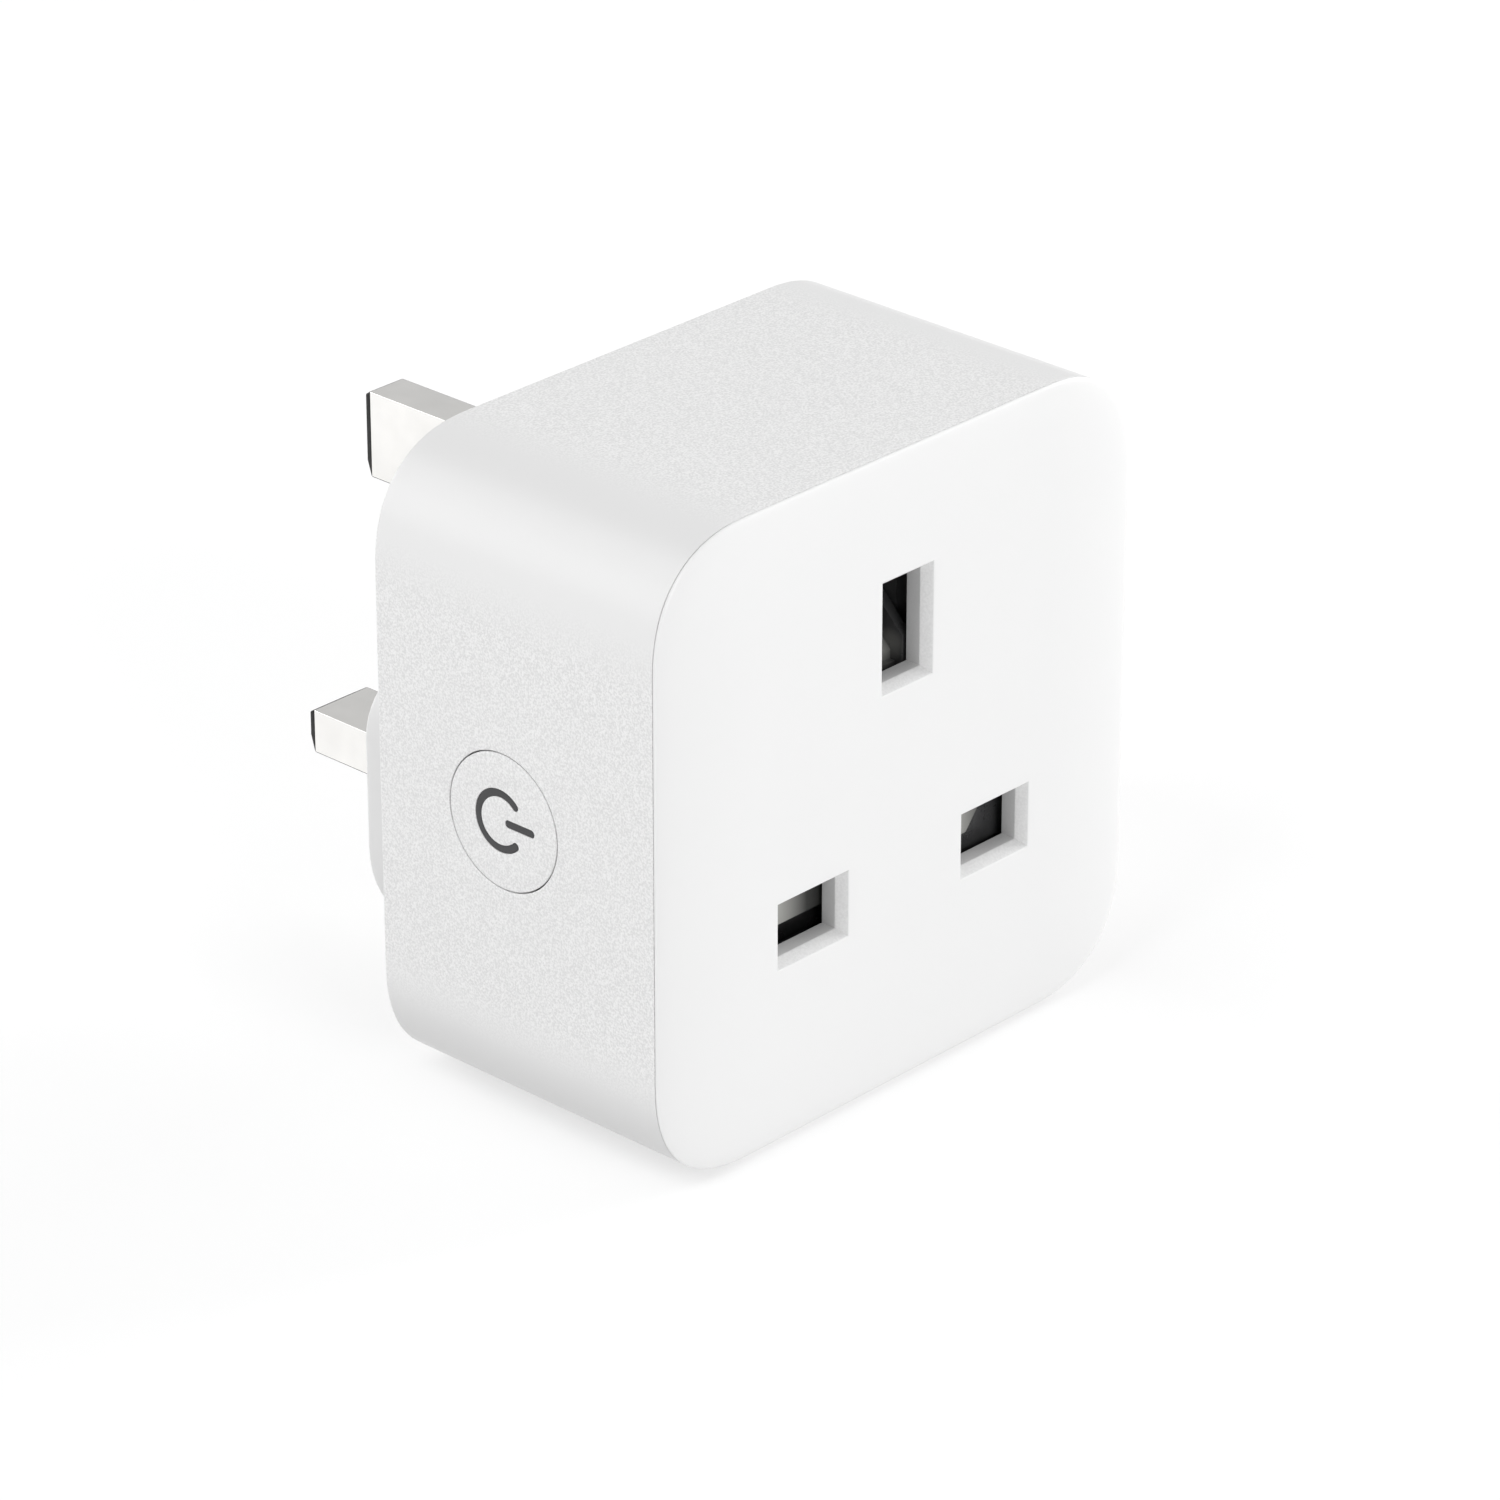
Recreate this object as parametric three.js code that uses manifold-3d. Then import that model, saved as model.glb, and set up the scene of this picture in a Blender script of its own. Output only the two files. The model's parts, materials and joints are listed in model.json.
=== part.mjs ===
// Smart plug: a square adaptor with three flat pins behind, a shuttered socket in front and a
// round power button on its left side, for 13 A outlets with rectangular pins.
// Millimetres. Seen from the front, +X is right and +Z is up; +Y points at the wall.
// The origin is the middle of the boss face that rests on the wall outlet.

import * as THREE from "three";
import { mergeVertices } from "three/addons/utils/BufferGeometryUtils.js";
import Module from "manifold-3d";

// ---- Driving dimensions: housing ----
const BODY = 57; // width and height of the body
const BODY_DEPTH = 32.06; // front face to the shell's back face
const BOSS_DEPTH = 6.64; // how far the pin boss stands out behind the shell
const CORNER = 10.8; // reach of each rounded corner along the sides
const CORNER_POWER = 2.4; // 2 is a round corner, more is squarer
const CORNER_STEPS = 8;
const CROWN_DEPTH = 1.09; // how far the front cover falls away to its rim
const CROWN_RUN = 11.4; // width of the falling band round the cover
const CROWN_STEPS = 6;
const WALL = 2;
const SEAM = 0.1; // hairline between the cover and the shell
const GAP = 0.3; // clearance between neighbouring pieces
const FIT = 0.15; // clearance round a piece held in a hole
const RIB = 1; // thickness of inner ribs and walls

// ---- Driving dimensions: pins and socket ----
const PIN_SPREAD = 22.23; // live to neutral, and the earth pin above their line
const LINE_Z = -9.12; // height of the line through the live and neutral pins
const LINE_PIN = { width: 6.35, height: 4, length: 17.7 };
const EARTH_PIN = { width: 4, height: 7.95, length: 22.73 };
const TIP = { length: 1.43, inset: 0.9 }; // chamfered end of a pin
const CORE = { width: 4.9, height: 2.55 }; // pin metal inside its sleeve
const SLEEVE_END = 9.5;
const SLEEVE_ROOT = -2.1;
const LINE_MOUTH = { width: 8.5, height: 6.07 }; // socket apertures at the front face
const EARTH_MOUTH = { width: 6.23, height: 10.09 };
const MOUTH_CHAMFER = { depth: 0.92, inset: 0.67 };
const MOUTH_DEPTH = 2.35; // thickness of the cover round the apertures
const STRIP = 0.6; // sheet thickness of the contacts
const GRIP = 2.15; // half the space between a contact's leaves

// ---- Driving dimensions: shutter, button, boards ----
const SHUTTER_THICKNESS = 1.45;
const SHUTTER_TRAVEL = 5.8;
const RAMP_FOOT = 7; // lower end of the shutter's ramp
const SPRING = { radius: 1.4, wire: 0.25, turns: 6, steps: 14, sides: 6 };
const BUTTON = { y: -20.82, z: 0, radius: 6, thickness: 1.2, flange: 7 };
const BUTTON_HOLE = 6.12;
const ICON = { radius: 2.38, stroke: 0.64, offset: 0.35, opening: 0.8, barFrom: -3.16, barTo: -0.57 };
const PIPE_GAP = 0.08; // round the light pipe in its slots
const BOARD_THICKNESS = 1.2;
const RIB_PLACES = [16.9, -14]; // undersides of the ribs above and below the control board
const RIB_REACH = 6;
const SCREW = { spread: 20.5, head: 2.3, shank: 1.1, bore: 1.3, post: 2.5 };
const ROUND = 24; // sides of an ordinary round piece

// ---- Planes across the depth, from the front to the wall ----
const FRONT = -(BODY_DEPTH + BOSS_DEPTH);
const PARTING = FRONT + CROWN_DEPTH;
const COVER_BACK = FRONT + MOUTH_DEPTH;
const SHUTTER_FRONT = COVER_BACK + 0.4;
const SHUTTER_BACK = SHUTTER_FRONT + SHUTTER_THICKNESS;
const CARRIER_FRONT = SHUTTER_BACK + 0.5;
const CARRIER_BACK = CARRIER_FRONT + 15.4;
const BACK = -BOSS_DEPTH;
const FLANGE_BACK = BACK - WALL - SEAM;
const FLANGE_FRONT = FLANGE_BACK - 1.4;
const BOARD_BACK = FLANGE_FRONT - 2.86;
const BOARD_FRONT = BOARD_BACK - BOARD_THICKNESS;
const SEAT = BOARD_FRONT - GAP; // where board components stand

const EARTH_Z = LINE_Z + PIN_SPREAD;
const LIVE_X = PIN_SPREAD / 2;
const NEUTRAL_X = -LIVE_X;
const SIDE = -BODY / 2; // outer face of the left wall
const SIDE_IN = SIDE + WALL;
const QUARTER = Math.PI / 2;

// ---- Shape helpers ----
const wasm = await Module();
wasm.setup();

// A closed geometry as a solid that can be joined and cut.
function solid(geometry) {
  const bare = geometry.clone();
  bare.deleteAttribute("normal");
  bare.deleteAttribute("uv");
  const merged = mergeVertices(bare, 1e-4);
  return new wasm.Manifold(
    new wasm.Mesh({
      numProp: 3,
      vertProperties: merged.attributes.position.array,
      triVerts: new Uint32Array(merged.index.array),
    }),
  );
}

const join = (...pieces) => pieces.reduce((whole, piece) => whole.add(piece));
const cut = (body, ...tools) => tools.reduce((left, tool) => left.subtract(tool), body);

// A box between low and high limits on each axis.
function block([x0, x1], [y0, y1], [z0, z1]) {
  const geometry = new THREE.BoxGeometry(x1 - x0, y1 - y0, z1 - z0);
  geometry.translate((x0 + x1) / 2, (y0 + y1) / 2, (z0 + z1) / 2);
  return solid(geometry);
}

// A box of a width and height centred on (x, z), between two depths.
function post(x, z, width, height, depth) {
  return block([x - width / 2, x + width / 2], depth, [z - height / 2, z + height / 2]);
}

// A round bar along one axis; centre gives its other two coordinates.
function rod(axis, radius, [from, to], centre, sides = ROUND) {
  const geometry = new THREE.CylinderGeometry(radius, radius, to - from, sides);
  if (axis === "x") geometry.rotateZ(QUARTER);
  if (axis === "z") geometry.rotateX(QUARTER);
  const place = { ...centre, [axis]: (from + to) / 2 };
  geometry.translate(place.x, place.y, place.z);
  return solid(geometry);
}

// An outline drawn in x and z, thickened between two depths.
function slab(shape, [y0, y1], curveSegments = 6) {
  const geometry = new THREE.ExtrudeGeometry(shape, { depth: y1 - y0, bevelEnabled: false, curveSegments });
  geometry.rotateX(QUARTER);
  geometry.translate(0, y1, 0);
  return solid(geometry);
}

// An outline drawn as [y, z] corners, thickened from x0 to x1.
function profile(corners, [x0, x1]) {
  const shape = new THREE.Shape(corners.map(([y, z]) => new THREE.Vector2(y, z)));
  return sideways(shape, [x0, x1]);
}

// An outline drawn in y and z, thickened from x0 to x1.
function sideways(shape, [x0, x1], curveSegments = 8) {
  const geometry = new THREE.ExtrudeGeometry(shape, { depth: x1 - x0, bevelEnabled: false, curveSegments });
  geometry.rotateZ(QUARTER);
  geometry.rotateY(QUARTER);
  geometry.translate(x0, 0, 0);
  return solid(geometry);
}

// Rings of points, front to back, joined by a skin and closed at both ends.
// Each ring runs anticlockwise as seen from the front.
function loft(rings) {
  const count = rings[0].length;
  const index = [];
  for (let r = 0; r < rings.length - 1; r++) {
    for (let i = 0; i < count; i++) {
      const a = r * count + i;
      const b = r * count + ((i + 1) % count);
      index.push(a, a + count, b, b, a + count, b + count);
    }
  }
  const last = (rings.length - 1) * count;
  for (let i = 1; i < count - 1; i++) {
    index.push(0, i, i + 1);
    index.push(last, last + i + 1, last + i);
  }
  const geometry = new THREE.BufferGeometry().setFromPoints(rings.flat());
  geometry.setIndex(index);
  return solid(geometry);
}

// The body's rounded square, drawn in by inset, in the plane at depth y.
function bodyRing(inset, y) {
  const half = BODY / 2 - inset;
  const reach = Math.max(CORNER - inset, WALL);
  const ring = [];
  for (let turn = 0; turn < 4; turn++) {
    for (let step = 0; step <= CORNER_STEPS; step++) {
      const angle = (step / CORNER_STEPS) * QUARTER;
      const u = half - reach + reach * Math.cos(angle) ** (2 / CORNER_POWER);
      const v = half - reach + reach * Math.sin(angle) ** (2 / CORNER_POWER);
      const [x, z] = [[u, v], [-v, u], [-u, -v], [v, -u]][turn];
      ring.push(new THREE.Vector3(x, y, z));
    }
  }
  return ring;
}

const bodySlab = (inset, [y0, y1]) => loft([bodyRing(inset, y0), bodyRing(inset, y1)]);

// A rectangle centred on (x, z) in the plane at depth y, drawn in by inset.
function rectangleRing(x, z, { width, height }, inset, y) {
  const w = width / 2 - inset;
  const h = height / 2 - inset;
  const corners = [[-w, -h], [w, -h], [w, h], [-w, h]];
  return corners.map(([u, v]) => new THREE.Vector3(x + u, y, z + v));
}

// The three poles: where each stands, its pin and its aperture.
const poles = [
  { x: LIVE_X, z: LINE_Z, pin: LINE_PIN, mouth: LINE_MOUTH },
  { x: NEUTRAL_X, z: LINE_Z, pin: LINE_PIN, mouth: LINE_MOUTH },
  { x: 0, z: EARTH_Z, pin: EARTH_PIN, mouth: EARTH_MOUTH },
];

// The four corner screws of the power board.
const screwPlaces = [
  { x: SCREW.spread, z: SCREW.spread },
  { x: -SCREW.spread, z: SCREW.spread },
  { x: -SCREW.spread, z: -SCREW.spread },
  { x: SCREW.spread, z: -SCREW.spread },
];

// ---- Housing ----

// The cutter for one aperture: a wide chamfer that narrows to a straight throat.
function mouthCutter({ x, z, mouth }) {
  const { depth, inset } = MOUTH_CHAMFER;
  return loft([
    rectangleRing(x, z, mouth, -inset, FRONT - depth),
    rectangleRing(x, z, mouth, inset, FRONT + depth),
    rectangleRing(x, z, mouth, inset, CARRIER_FRONT),
  ]);
}

// One snap tab of the cover, at the middle of a side; side is the unit step (x, z) outwards.
function snapTab(side) {
  const reach = BODY / 2 - WALL;
  const arm = block([-4, 4], [COVER_BACK - 0.5, COVER_BACK + 5], [reach - 1.5, reach - 0.5]);
  const hook = block([-4, 4], [COVER_BACK + 3.9, COVER_BACK + 5], [reach - 1.5, reach + 0.4]);
  return join(arm, hook).rotate([0, side * 90, 0]);
}

// Front cover: crowned plate with three apertures, a spigot inside the shell and four snap tabs.
function frontCover() {
  const rings = [];
  for (let step = CROWN_STEPS; step >= 0; step--) {
    const angle = (step / CROWN_STEPS) * QUARTER;
    const inset = CROWN_RUN * (1 - Math.cos(angle));
    rings.push(bodyRing(inset, PARTING - CROWN_DEPTH * Math.sin(angle)));
  }
  const spigot = bodySlab(WALL + GAP, [PARTING - 0.4, COVER_BACK]);
  const tabs = [0, 1, 2, 3].map(snapTab);
  return cut(join(loft(rings), spigot, ...tabs), ...poles.map(mouthCutter));
}

// Outline of the pin boss: a broad lower block with a neck round the earth pin.
function bossShape(grow = 0) {
  const half = 23.9 + grow;
  const neck = 12 + grow;
  const bottom = -20.7 - grow;
  const shoulder = 4.6 + grow;
  const top = 22.6 + grow;
  const low = 9.7 + grow;
  const high = 5.6 + grow;
  const hollow = 4 - grow;
  const crown = 7 + grow;
  const shape = new THREE.Shape();
  shape.absarc(half - low, bottom + low, low, -QUARTER, 0);
  shape.absarc(half - high, shoulder - high, high, 0, QUARTER);
  shape.absarc(neck + hollow, shoulder + hollow, hollow, -QUARTER, -Math.PI, true);
  shape.absarc(neck - crown, top - crown, crown, 0, QUARTER);
  shape.absarc(crown - neck, top - crown, crown, QUARTER, Math.PI);
  shape.absarc(-neck - hollow, shoulder + hollow, hollow, 0, -QUARTER, true);
  shape.absarc(high - half, shoulder - high, high, QUARTER, Math.PI);
  shape.absarc(low - half, bottom + low, low, Math.PI, 3 * QUARTER);
  return shape;
}

// Main shell: the body's four walls and back, open in front, with the button hole on the left.
function mainShell() {
  const outside = bodySlab(0, [PARTING + SEAM, BACK]);
  const inside = bodySlab(WALL, [FRONT, BACK - WALL]);
  const bossHole = slab(bossShape(FIT), [BACK - WALL - 1, BACK + 1]);
  const buttonHole = rod("x", BUTTON_HOLE, [SIDE - 1, SIDE_IN + 1], BUTTON, 48);
  const reach = BODY / 2 - WALL;
  const recess = block([-4.4, 4.4], [COVER_BACK + 3.5, COVER_BACK + 5.4], [reach - 1, reach + 0.8]);
  const catches = [0, 1, 2, 3].map((side) => recess.rotate([0, side * 90, 0]));
  const ribDepth = [-33.5, FLANGE_FRONT - GAP];
  const ribs = RIB_PLACES.map((z) => block([SIDE_IN - 1, SIDE_IN + RIB_REACH], ribDepth, [z, z + RIB]));
  return join(cut(outside, inside, bossHole, buttonHole, ...catches), ...ribs);
}

// Plug base: flange inside the shell, hollow boss through its back, seats for the three pins
// and four posts that carry the power board.
function plugBase() {
  const flange = bodySlab(WALL + GAP, [FLANGE_FRONT, FLANGE_BACK]);
  const boss = slab(bossShape(), [FLANGE_FRONT, 0]);
  const towers = poles.map(({ x, z, pin }) =>
    post(x, z, pin.width + 4, pin.height + 4, [FLANGE_FRONT - 1, 0]),
  );
  const pocket = cut(slab(bossShape(-WALL), [FLANGE_FRONT - 1, -WALL]), ...towers);
  const seats = [LIVE_X, NEUTRAL_X].flatMap((x) => [
    post(x, LINE_Z, LINE_PIN.width + 2 * FIT, LINE_PIN.height + 2 * FIT, [SLEEVE_ROOT - GAP, 1]),
    post(x, LINE_Z, CORE.width + 2 * FIT, CORE.height + 2 * FIT, [FLANGE_FRONT - 1, 0]),
  ]);
  const earthRoom = [EARTH_PIN.width + 2 * FIT, EARTH_PIN.height + 2 * FIT];
  const earthSeat = post(0, EARTH_Z, ...earthRoom, [FLANGE_FRONT - 1, 1]);
  const base = cut(join(flange, boss), pocket, ...seats, earthSeat);
  const postDepth = [BOARD_BACK + SEAM, FLANGE_FRONT + 0.5];
  const posts = screwPlaces.map((at) => rod("y", SCREW.post, postDepth, at, 16));
  const bores = screwPlaces.map((at) => rod("y", SCREW.bore, [BOARD_BACK - 1, FLANGE_BACK + 1], at, 16));
  return cut(join(base, ...posts), ...bores);
}

// ---- Pins ----

// A bar of rectangular section from y0 to the pin's end, with a chamfered tip.
function pinBar(x, z, pin, y0) {
  return loft([
    rectangleRing(x, z, pin, 0, y0),
    rectangleRing(x, z, pin, 0, pin.length - TIP.length),
    rectangleRing(x, z, pin, TIP.inset, pin.length),
  ]);
}

// A collar behind the base and a solder tail through the power board.
function pinRoot(x, z, width, height) {
  const collar = post(x, z, width, height, [FLANGE_FRONT - 1.1, FLANGE_FRONT - 0.1]);
  const tail = post(x, z, 3, 1.6, [BOARD_FRONT - 0.7, FLANGE_FRONT - 0.1]);
  return join(collar, tail);
}

// Live or neutral pin: full section at the tip, slimmer where the sleeve covers it.
function linePin(x) {
  const core = post(x, LINE_Z, CORE.width, CORE.height, [FLANGE_FRONT - 0.5, SLEEVE_END + 0.5]);
  const tip = pinBar(x, LINE_Z, LINE_PIN, SLEEVE_END + SEAM);
  return join(tip, core, pinRoot(x, LINE_Z, 8.4, 5.6));
}

function earthPin() {
  return join(pinBar(0, EARTH_Z, EARTH_PIN, FLANGE_FRONT - 0.5), pinRoot(0, EARTH_Z, 6, 9.6));
}

// Insulating sleeve over the root half of a live or neutral pin.
function pinSleeve(x) {
  const outside = post(x, LINE_Z, LINE_PIN.width, LINE_PIN.height, [SLEEVE_ROOT, SLEEVE_END]);
  const inside = post(x, LINE_Z, CORE.width + SEAM, CORE.height + SEAM, [SLEEVE_ROOT - 1, SLEEVE_END + 1]);
  return cut(outside, inside);
}

// ---- Socket ----

// A folded strip contact, as [depth, across] corners: two leaves with flared mouths and a base.
function clipCorners(mouth, base) {
  const flare = GRIP + 0.45;
  const leaf = mouth + 1.6;
  const half = [
    [mouth, flare],
    [leaf, GRIP],
    [base, GRIP],
  ];
  const outer = [
    [base + STRIP, GRIP + STRIP],
    [leaf, GRIP + STRIP],
    [mouth, flare + STRIP],
  ];
  const mirrored = (corners) => corners.map(([y, h]) => [y, -h]).reverse();
  return [...half, ...mirrored(half), ...mirrored(outer), ...outer];
}

// Live or neutral contact: leaves above and below the mated pin, and a leg to the power board.
function lineContact(x) {
  const base = FRONT + 18.5;
  const corners = clipCorners(CARRIER_FRONT + 1.4, base).map(([y, h]) => [y, LINE_Z + h]);
  const leg = block([x - 1.5, x + 1.5], [base, SEAT], [LINE_Z - GRIP - STRIP, LINE_Z - GRIP]);
  return join(profile(corners, [x - 3, x + 3]), leg);
}

// Earth contact: leaves on either side of the mated earth pin.
function earthContact() {
  const corners = clipCorners(CARRIER_FRONT + 5.5, FRONT + 23.1);
  const shape = new THREE.Shape(corners.map(([y, across]) => new THREE.Vector2(across, y)));
  const height = 7;
  const geometry = new THREE.ExtrudeGeometry(shape, { depth: height, bevelEnabled: false });
  geometry.translate(0, 0, EARTH_Z - height / 2);
  return solid(geometry);
}

// Contact carrier: front plate with the shutter's rails, three wells and the spring bracket.
function contactCarrier() {
  const plate = block([-17.5, 17.5], [CARRIER_FRONT, CARRIER_FRONT + RIB], [-14.6, 19.4]);
  const rails = [-17.5, 16.5].map((x) => block([x, x + RIB], [SHUTTER_FRONT, CARRIER_FRONT], [-14.6, -4.6]));
  const wells = [LIVE_X, NEUTRAL_X].map((x) => post(x, LINE_Z, 10.4, 8.8, [CARRIER_FRONT, CARRIER_BACK]));
  const earthWell = post(0, EARTH_Z, 9.6, 11.6, [CARRIER_FRONT, CARRIER_BACK]);
  const bracket = block([-3.6, 3.6], [CARRIER_FRONT, -29.5], [-24.4, -14.2]);
  const bores = [LIVE_X, NEUTRAL_X].flatMap((x) => [
    post(x, LINE_Z, 8.4, 6.8, [CARRIER_FRONT + RIB, CARRIER_BACK + 1]),
    post(x, LINE_Z, 7.2, 4.8, [CARRIER_FRONT - 1, CARRIER_BACK]),
  ]);
  const earthBore = post(0, EARTH_Z, 7.6, 9.6, [CARRIER_FRONT - 1, CARRIER_BACK + 1]);
  const rampRange = [RAMP_FOOT - SHUTTER_TRAVEL - GAP, EARTH_Z];
  const rampSlot = block([-3.8, 3.8], [CARRIER_FRONT - 1, -28.4], rampRange);
  const springSlot = block([-2.3, 2.3], [CARRIER_FRONT - 1, -29], [-23.2, -10.2]);
  const body = join(plate, ...rails, ...wells, earthWell, bracket);
  return cut(body, ...bores, earthBore, rampSlot, springSlot);
}

// ---- Shutter ----

// Shutter: a bar across the live and neutral apertures, a stem up to the ramp that the earth
// pin pushes down, and an arm that rests on the return spring.
function shutter() {
  const sheet = [SHUTTER_FRONT, SHUTTER_BACK];
  const bar = block([-16.2, 16.2], sheet, [LINE_Z - 3, LINE_Z + 3]);
  const stem = block([-3.35, 3.35], sheet, [LINE_Z + 2, 8.4]);
  const top = EARTH_Z - EARTH_PIN.height / 2 + SHUTTER_TRAVEL - 0.05;
  const deep = SHUTTER_BACK + SHUTTER_TRAVEL - 0.35;
  const cheekRise = top - 10.8;
  const cheek = [
    [SHUTTER_FRONT, RAMP_FOOT],
    [deep, RAMP_FOOT],
    [deep, top],
    [SHUTTER_FRONT + cheekRise, top],
    [SHUTTER_FRONT, 10.8],
  ];
  const ramp = [
    [SHUTTER_BACK - 0.2, RAMP_FOOT],
    [deep, RAMP_FOOT],
    [deep, top],
    [SHUTTER_BACK - 0.2, top - (deep - SHUTTER_BACK + 0.2)],
  ];
  const cheeks = [profile(cheek, [2.35, 3.35]), profile(cheek, [-3.35, -2.35])];
  const arm = block([-1.8, 1.8], [SHUTTER_BACK - 0.2, -29.4], [LINE_Z - 3, LINE_Z - 1.6]);
  return join(bar, stem, ...cheeks, profile(ramp, [-2.4, 2.4]), arm);
}

// The helix of the shutter's return spring, standing along z.
class Helix extends THREE.Curve {
  constructor(low, high) {
    super();
    this.low = low;
    this.high = high;
  }

  getPoint(t, target = new THREE.Vector3()) {
    const angle = t * SPRING.turns * 2 * Math.PI;
    const z = this.low + (this.high - this.low) * t;
    return target.set(SPRING.radius * Math.cos(angle), -31.4 + SPRING.radius * Math.sin(angle), z);
  }
}

function shutterSpring() {
  const section = new THREE.Shape();
  section.absarc(0, 0, SPRING.wire, 0, 2 * Math.PI);
  const path = new Helix(-23.2 + GAP, LINE_Z - 3 - GAP);
  const geometry = new THREE.ExtrudeGeometry(section, {
    extrudePath: path,
    steps: SPRING.turns * SPRING.steps,
    curveSegments: SPRING.sides / 2,
    bevelEnabled: false,
  });
  return solid(geometry);
}

// ---- Button ----

// The power mark in y and z, made fatter by grow: an open ring and a bar through its opening.
function iconParts(grow) {
  const half = ICON.stroke / 2 + grow;
  const middle = BUTTON.y + ICON.offset;
  const start = Math.PI + ICON.opening;
  const end = Math.PI - ICON.opening + 2 * Math.PI;
  const along = (angle) => middle + ICON.radius * Math.cos(angle);
  const across = (angle) => BUTTON.z + ICON.radius * Math.sin(angle);
  const ring = new THREE.Shape();
  ring.absarc(middle, BUTTON.z, ICON.radius + half, start, end);
  ring.absarc(along(end), across(end), half, end, end + Math.PI);
  ring.absarc(middle, BUTTON.z, ICON.radius - half, end, start, true);
  ring.absarc(along(start), across(start), half, start + Math.PI, start + 2 * Math.PI);
  const bar = new THREE.Shape();
  bar.absarc(BUTTON.y + ICON.barTo, BUTTON.z, half, -QUARTER, QUARTER);
  bar.absarc(BUTTON.y + ICON.barFrom, BUTTON.z, half, QUARTER, 3 * QUARTER);
  return [ring, bar];
}

// A ring-shaped piece round the button's axis.
function buttonRing(outer, inner, [from, to]) {
  return cut(rod("x", outer, [from, to], BUTTON, 48), rod("x", inner, [from - 1, to + 1], BUTTON, 48));
}

// Button cap: a disc with slots for the light pipe, a skirt, a retaining flange and a stem.
function buttonCap() {
  const inner = SIDE + BUTTON.thickness;
  const disc = rod("x", BUTTON.radius, [SIDE, inner], BUTTON, 48);
  const skirt = buttonRing(BUTTON.radius, 4.8, [inner - 0.1, SIDE_IN + 0.4]);
  const flange = buttonRing(BUTTON.flange, 4.8, [SIDE_IN + 0.2, SIDE_IN + 0.9]);
  const stem = rod("x", 1.5, [inner - 0.1, SIDE_IN - 0.15], BUTTON, 16);
  const slots = iconParts(PIPE_GAP).map((shape) => sideways(shape, [SIDE - 1, inner + 0.5]));
  return cut(join(disc, skirt, flange, stem), ...slots);
}

// Light pipe: the power mark standing in the cap's slots on a ring behind the cap.
function iconLightPipe() {
  const inner = SIDE + BUTTON.thickness;
  const marks = iconParts(0).map((shape) => sideways(shape, [SIDE + 0.05, inner + 0.2]));
  const back = buttonRing(4.4, 1.9, [inner + 0.08, inner + 0.55]);
  return join(back, ...marks);
}

// Tactile switch on the control board, with a well for its plunger.
const SWITCH_TOP = SIDE + 3.3;
const CONTROL_FACE = SIDE + 5.9; // outer face of the control board

function tactSwitch() {
  const half = 3;
  const depth = [BUTTON.y - half, BUTTON.y + half];
  const body = block([SWITCH_TOP, CONTROL_FACE - SEAM], depth, [BUTTON.z - half, BUTTON.z + half]);
  return cut(body, rod("x", 1.9, [SWITCH_TOP - 1, SWITCH_TOP + 1.5], BUTTON));
}

function switchPlunger() {
  return rod("x", 1.6, [SIDE_IN - SEAM, SWITCH_TOP + 0.6], BUTTON);
}

// ---- Control board on the left ----

const CONTROL_BACK = CONTROL_FACE + BOARD_THICKNESS;

function controlBoard() {
  return block([CONTROL_FACE, CONTROL_BACK], [-33, SEAT], [-12.7, 16.7]);
}

const statusLed = () => block([CONTROL_FACE - 0.9, CONTROL_FACE - 0.1], [-21.6, -20], [3.6, 4.6]);
const radioBoard = () => block([CONTROL_BACK + 0.1, CONTROL_BACK + 0.9], [-32, -16], [-2, 16]);
const antenna = () => block([CONTROL_BACK + 1, CONTROL_BACK + 1.3], [-31, -17], [12, 15]);

// Shield can over the radio chips: a tray open towards its board.
function shieldCan() {
  const can = block([CONTROL_BACK + 1, CONTROL_BACK + 2.8], [-30.5, -17.5], [-1, 11]);
  return cut(can, block([CONTROL_BACK, CONTROL_BACK + 2.5], [-30.2, -17.8], [-0.7, 10.7]));
}

// Header: a plastic bar at the foot of the control board, with its row of pins as one comb.
function boardHeader() {
  const bar = block([CONTROL_BACK + 0.1, CONTROL_BACK + 2.6], [SEAT - 2.5, SEAT], [-12, -5]);
  const pinWidth = [CONTROL_BACK + 1, CONTROL_BACK + 1.6];
  const pinDepth = [SEAT - 0.1, BOARD_BACK + 0.8];
  const pins = [-11, -9, -7].map((z) => block(pinWidth, pinDepth, [z, z + 0.6]));
  return join(bar, ...pins);
}

// ---- Power board ----

function powerBoard() {
  const board = bodySlab(WALL + 3 * GAP, [BOARD_FRONT, BOARD_BACK]);
  const through = [BOARD_FRONT - 1, BOARD_BACK + 1];
  const slots = poles.map(({ x, z }) => post(x, z, 3.6, 2.2, through));
  const holes = screwPlaces.map((at) => rod("y", SCREW.bore, through, at, 16));
  const header = block([CONTROL_BACK + 0.7, CONTROL_BACK + 1.9], through, [-11.3, -6.1]);
  const ribNotches = RIB_PLACES.map((z) =>
    block([SIDE, SIDE_IN + RIB_REACH + GAP], through, [z - GAP, z + RIB + GAP]),
  );
  const flangeNotch = block([SIDE, SIDE_IN + 2], through, [BUTTON.z - 3, BUTTON.z + 3]);
  return cut(board, ...slots, ...holes, header, flangeNotch, ...ribNotches);
}

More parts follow.
